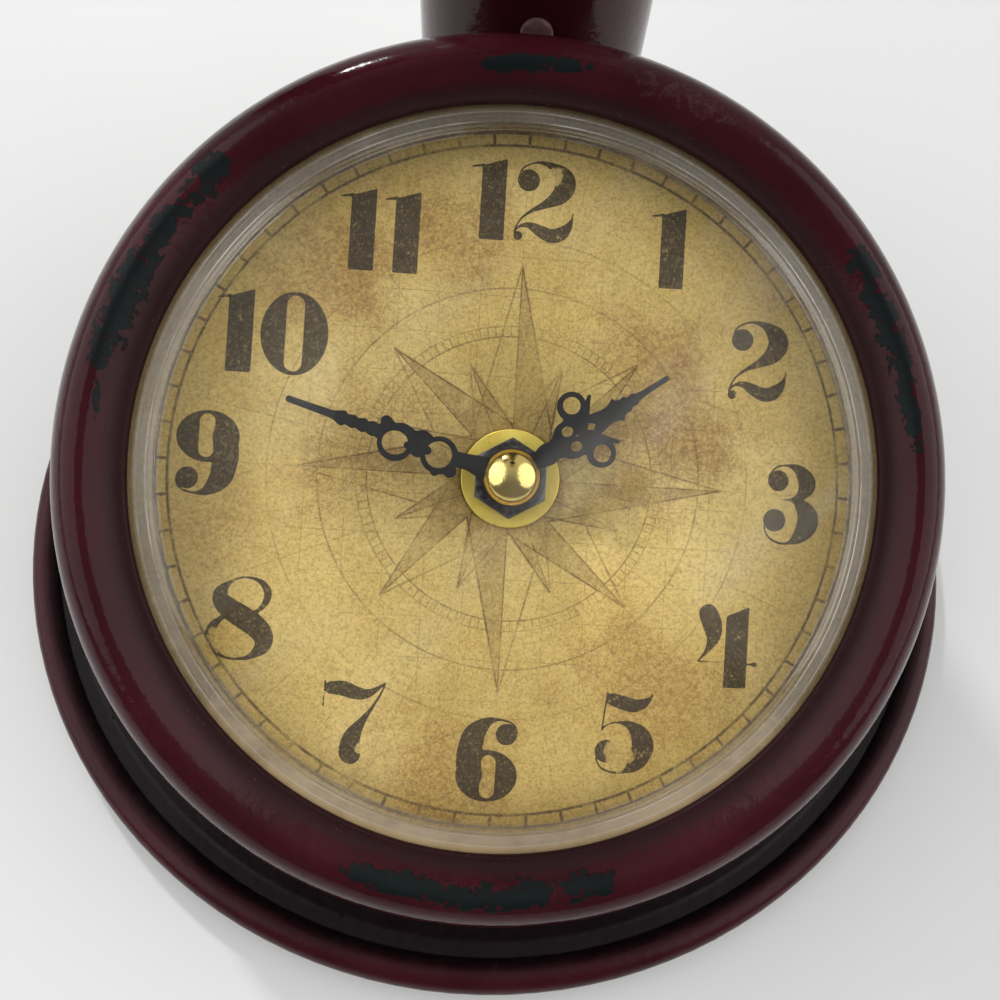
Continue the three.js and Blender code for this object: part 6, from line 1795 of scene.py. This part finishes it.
CUP_RADIUS, CUP_BORE, CUP_BACK, CUP_FLOOR, CUP_FRONT = 35, 33, 18, 20, 44
FACE_BORE, FACE_BACK, FACE_FRONT = 9, 44.3, 46.8
show(spun("cup_skin", [(0, CUP_BACK, 0), (CUP_RADIUS, CUP_BACK, 5), (CUP_RADIUS, 22, 0),
                       (CUP_RADIUS, CUP_FRONT, 0.5), (CUP_BORE, CUP_FRONT, 0.3), (CUP_BORE, 23, 2.5),
                       (30.5, CUP_FLOOR, 1.0), (0, CUP_FLOOR, 0)], CUP_SEAT, rounding_steps=8),
     PAINT, "transmitter", "paint", "transmitter_cup")
show(spun("face_skin", [(FACE_BORE, FACE_BACK, 0.2), (CUP_RADIUS, FACE_BACK, 0.3),
                        (CUP_RADIUS, 45.5, 0.8), (CUP_BORE, FACE_FRONT, 0.8), (12, FACE_FRONT, 0.4),
                        (FACE_BORE, FACE_FRONT, 0.8)], CUP_SEAT),
     PAINT, "transmitter", "paint", "transmitter_face")

FACE_SCREW_CIRCLE, FACE_SCREW_LEVEL = 30, 46.75
FACE_SCREW_ANGLES = range(30, 390, 60)


def face_screws():
    """Six small screws round the transmitter's face."""
    blank = screw_blank("face_screw_blank", head_radius=1.7, head_height=0.9, shank_radius=0.8,
                        shank_length=1.2, slot=0.45)
    outward = CUP_SEAT @ Matrix.Translation((0, 0, FACE_SCREW_LEVEL))
    return grown("face_screws", PIECES_ON_POINTS, outward,
                 on_circle(FACE_SCREW_CIRCLE, FACE_SCREW_ANGLES), [blank],
                 Piece=blank, Turn_Seed=9, Finish=BRASS)


show(face_screws(), BRASS, "transmitter", "brass")

HORN_FOOT, HORN_LENGTH = 47.1, 35
HORN_RADIUS, HORN_FLARE, HORN_WALL = 13, 14, 2


def horn_skin():
    """Flared mouthpiece with a rolled edge."""
    outside = [(HORN_RADIUS + HORN_FLARE * s * s, HORN_FOOT + HORN_LENGTH * s)
               for s in np.linspace(0, 1, 20)]
    inside = [(r - HORN_WALL, z) for r, z in outside][::-1]
    return spun("horn_skin", [(*outside[0], 0.3), *outside[1:-1], (*outside[-1], 0.9),
                              (*inside[0], 0.9), *inside[1:-1], (*inside[-1], 0.3)], CUP_SEAT)


show(horn_skin(), BAKELITE, "transmitter", "bakelite", "mouthpiece")

BOLT_RADIUS, BOLT_HEAD, BOLT_END = 2.5, -10.6, 11.9
PIVOT_END_RADIUS, EARS_OUTSIDE, PIVOT_NUT_END = 5, 7.6, 12.0
show(spun("pivot_bolt_skin", [(0, BOLT_HEAD, 0), (4.6, BOLT_HEAD, 1.2), (PIVOT_END_RADIUS, -8.9, 0.3),
                              (PIVOT_END_RADIUS, -EARS_OUTSIDE, 0.2), (BOLT_RADIUS, -EARS_OUTSIDE, 0),
                              (BOLT_RADIUS, BOLT_END, 0.4), (0, BOLT_END, 0)], PIVOT_SEAT, SMALL_STEPS),
     BRASS, "frame", "brass", "pivot_bolt")
show(spun("pivot_nut_skin", [(PIVOT_HOLE, EARS_OUTSIDE, 0.2), (PIVOT_END_RADIUS, EARS_OUTSIDE, 0.4),
                             (PIVOT_END_RADIUS, PIVOT_NUT_END, 0.6), (PIVOT_HOLE, PIVOT_NUT_END, 0.3)],
          PIVOT_SEAT, SMALL_STEPS), BRASS, "frame", "brass", "pivot_nut")
RIBS_SEAT = PIVOT_SEAT @ Matrix.Translation((0, 0, 9.7))
show(grown("pivot_nut_ribs", RIBS_IN_A_RING, RIBS_SEAT, Count=30, Radius=PIVOT_END_RADIUS - 0.05,
           Rib_Depth=0.5, Rib_Width=0.5, Rib_Length=2.8, Finish=BRASS), BRASS, "frame", "brass")


# Hook fork and receiver: heights from the fork's level

FORK_BEND = 17
STEM_RADIUS, STEM_COLLAR, STEM_LENGTH = 4, 7, 32


def fork_skin():
    """A rod bent into two prongs, on a turned stem."""
    rod = grown("fork_rod", BENT_ROD, RECEIVER_SEAT, Steps=73, Prong_Length=12, Bend_Radius=FORK_BEND,
                Rod_Radius=2.5, Finish=BRASS)
    stem_seat = (Matrix.Translation(RECEIVER + Vector((FORK_BEND, 0, 0)))
                 @ Matrix.Rotation(math.pi / 2, 4, "Y"))
    stem = spun("fork_stem", [(0, 0, 0), (2.45, 0, 0.2), (2.45, 9, 0.8), (STEM_RADIUS, 11, 0.8),
                              (STEM_RADIUS, 23.2, 0.5), (STEM_COLLAR, 24.2, 0.5),
                              (STEM_COLLAR, 26.2, 0.4), (STEM_RADIUS, 26.2, 0),
                              (STEM_RADIUS, STEM_LENGTH, 0.4), (0, STEM_LENGTH, 0)],
                stem_seat, SMALL_STEPS)
    return fused("fork_skin", [rod, stem])


show(fork_skin(), BRASS, "frame", "brass", "hook_fork")

HANDLE_RADIUS, HANDLE_FOOT, HANDLE_BORE, BORE_DEPTH = 13, -110, 4.3, -104
BELL_RADIUS, BELL_BORE, BELL_FLOOR, BELL_TOP = 26, 23, 9.8, 20.8
EAR_HOLE, EAR_CAP_RADIUS, EAR_CAP_UNDER, EAR_CAP_TOP = 6, 27.5, 21.1, 31.1
BUSH_BORE, BUSH_SHANK, BUSH_FOOT, BUSH_COLLAR, BUSH_TOP = 2, 4, -114.3, -110.3, -104.3
show(spun("receiver_skin", [(HANDLE_BORE, HANDLE_FOOT, 0.3), (11, HANDLE_FOOT, 1.0),
                            (HANDLE_RADIUS, -106, 2.0), (HANDLE_RADIUS, -54, 0),
                            (HANDLE_RADIUS, 2.8, 0.8), (19.5, 3.3, 1.5), (24, 6.8, 3.0),
                            (BELL_RADIUS, 10.8, 2.5),
                            (BELL_RADIUS, BELL_TOP, 0.4), (BELL_BORE, BELL_TOP, 0.3),
                            (BELL_BORE, BELL_FLOOR, 1.0), (0, BELL_FLOOR, 0), (0, BORE_DEPTH, 0),
                            (HANDLE_BORE, BORE_DEPTH, 0.2)], RECEIVER_SEAT),
     BAKELITE, "receiver", "bakelite", "receiver_shell")
show(spun("ear_cap_skin", [(EAR_HOLE, EAR_CAP_UNDER, 0.3), (26.5, EAR_CAP_UNDER, 0.4),
                           (EAR_CAP_RADIUS, 22.1, 0.6), (EAR_CAP_RADIUS, 29.1, 1.5),
                           (25.5, EAR_CAP_TOP, 1.5), (21.5, EAR_CAP_TOP, 2.0), (14, 29.4, 4.0),
                           (EAR_HOLE, 27.1, 1.0)], RECEIVER_SEAT),
     BAKELITE, "receiver", "bakelite", "ear_cap")
show(spun("cord_bush_skin", [(BUSH_BORE, BUSH_FOOT, 0.3), (5, BUSH_FOOT, 0.5), (7, BUSH_COLLAR, 0.5),
                             (BUSH_SHANK, BUSH_COLLAR, 0), (BUSH_SHANK, BUSH_TOP, 0.2),
                             (BUSH_BORE, BUSH_TOP, 0.2)], RECEIVER_SEAT, SMALL_STEPS),
     BRASS, "receiver", "brass", "cord_bush")


# CAD nodes that keep their shape get their finish here

CARRIED = {
    IRON: ["ballast_ring", "column_plug", "case_bracket", "rotor"],
    STEEL: ["bottom_plate", "hatch_rivet", "front_ring", "stator", "contact_plus", "contact_minus",
            "tie_rod", "tie_rod_nut", "nut_plate", "battery_hatch", "minute_arbor"],
    WHITE_PLASTIC: ["motion_wheel", "set_knob", "centre_wheel", "third_wheel", "second_wheel",
                    "intermediate_wheel"],
    GREY_PLASTIC: ["movement_case", "movement_cover"],
    RUBBER: ["rubber_washer"],
    COPPER: ["coil"],
    BOARD: ["circuit_board"],
    BRASS: ["hour_wheel"],
    BATTERY: ["battery"],
}
for material, names in CARRIED.items():
    for name in names:
        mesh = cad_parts[name].data
        if mesh.materials:
            mesh.materials[0] = material
        else:
            mesh.materials.append(material)


# Room, in metres and watts

FLOOR_HALF = 1.6
FLOOR_GREY = (0.70, 0.70, 0.695, 1)
DIM_FRONT = (0.17, 0.17, 0.175)
BRIGHT_BACK = (0.62, 0.62, 0.62)
PALE_BACKDROP = (0.80, 0.80, 0.80)
LAMP_AIM = Vector((0, 0, 0.05))
# Name, place, size, power
LAMPS = [
    ("left_panel", (-1.3, -0.2, 1.15), 2.2, 18.0),
    ("right_panel", (1.3, -0.25, 1.15), 2.2, 18.5),
    ("back_lamp", (-0.51, 0.88, 1.00), 0.09, 6.5),
]


def pale_floor():
    """The plain level that the clock stands on."""
    mesh = bpy.data.meshes.new("floor")
    ways = ((-1, -1), (1, -1), (1, 1), (-1, 1))
    mesh.from_pydata([(x * FLOOR_HALF, y * FLOOR_HALF, 0) for x, y in ways], [], [(0, 1, 2, 3)])
    mesh.materials.append(finish("pale_floor", Roughness=0.6, Base_Color=FLOOR_GREY)[0])
    placed("floor", mesh)


def plain_sky():
    """Soft light from all round, dimmer in front. The camera sees a plain pale backdrop."""
    world = bpy.data.worlds.new("plain_sky")
    world.use_nodes = True
    sky = world.node_tree.nodes["Background"].inputs
    w = Wiring(world.node_tree)
    depth = w.parts(w.put("ShaderNodeTexCoord").outputs["Generated"])[1]
    light = w.blend(w.ramp(depth, -0.75, 0.35), DIM_FRONT, BRIGHT_BACK)
    seen = w.put("ShaderNodeLightPath").outputs["Is Camera Ray"]
    w.join(sky["Color"], w.blend(seen, light, PALE_BACKDROP))
    sky["Strength"].default_value = 1.0
    bpy.context.scene.world = world


def soft_lamps():
    """Two wide panels and a small lamp behind, all turned to the clock."""
    for name, place, size, power in LAMPS:
        lamp = bpy.data.lights.new(name, "AREA")
        lamp.shape = "DISK"
        lamp.size = size
        lamp.energy = power
        stand = placed(name, lamp)
        stand.location = place
        stand.rotation_euler = (LAMP_AIM - Vector(place)).to_track_quat("-Z", "Y").to_euler()


pale_floor()
plain_sky()
soft_lamps()
bpy.context.scene.view_settings.view_transform = "Standard"
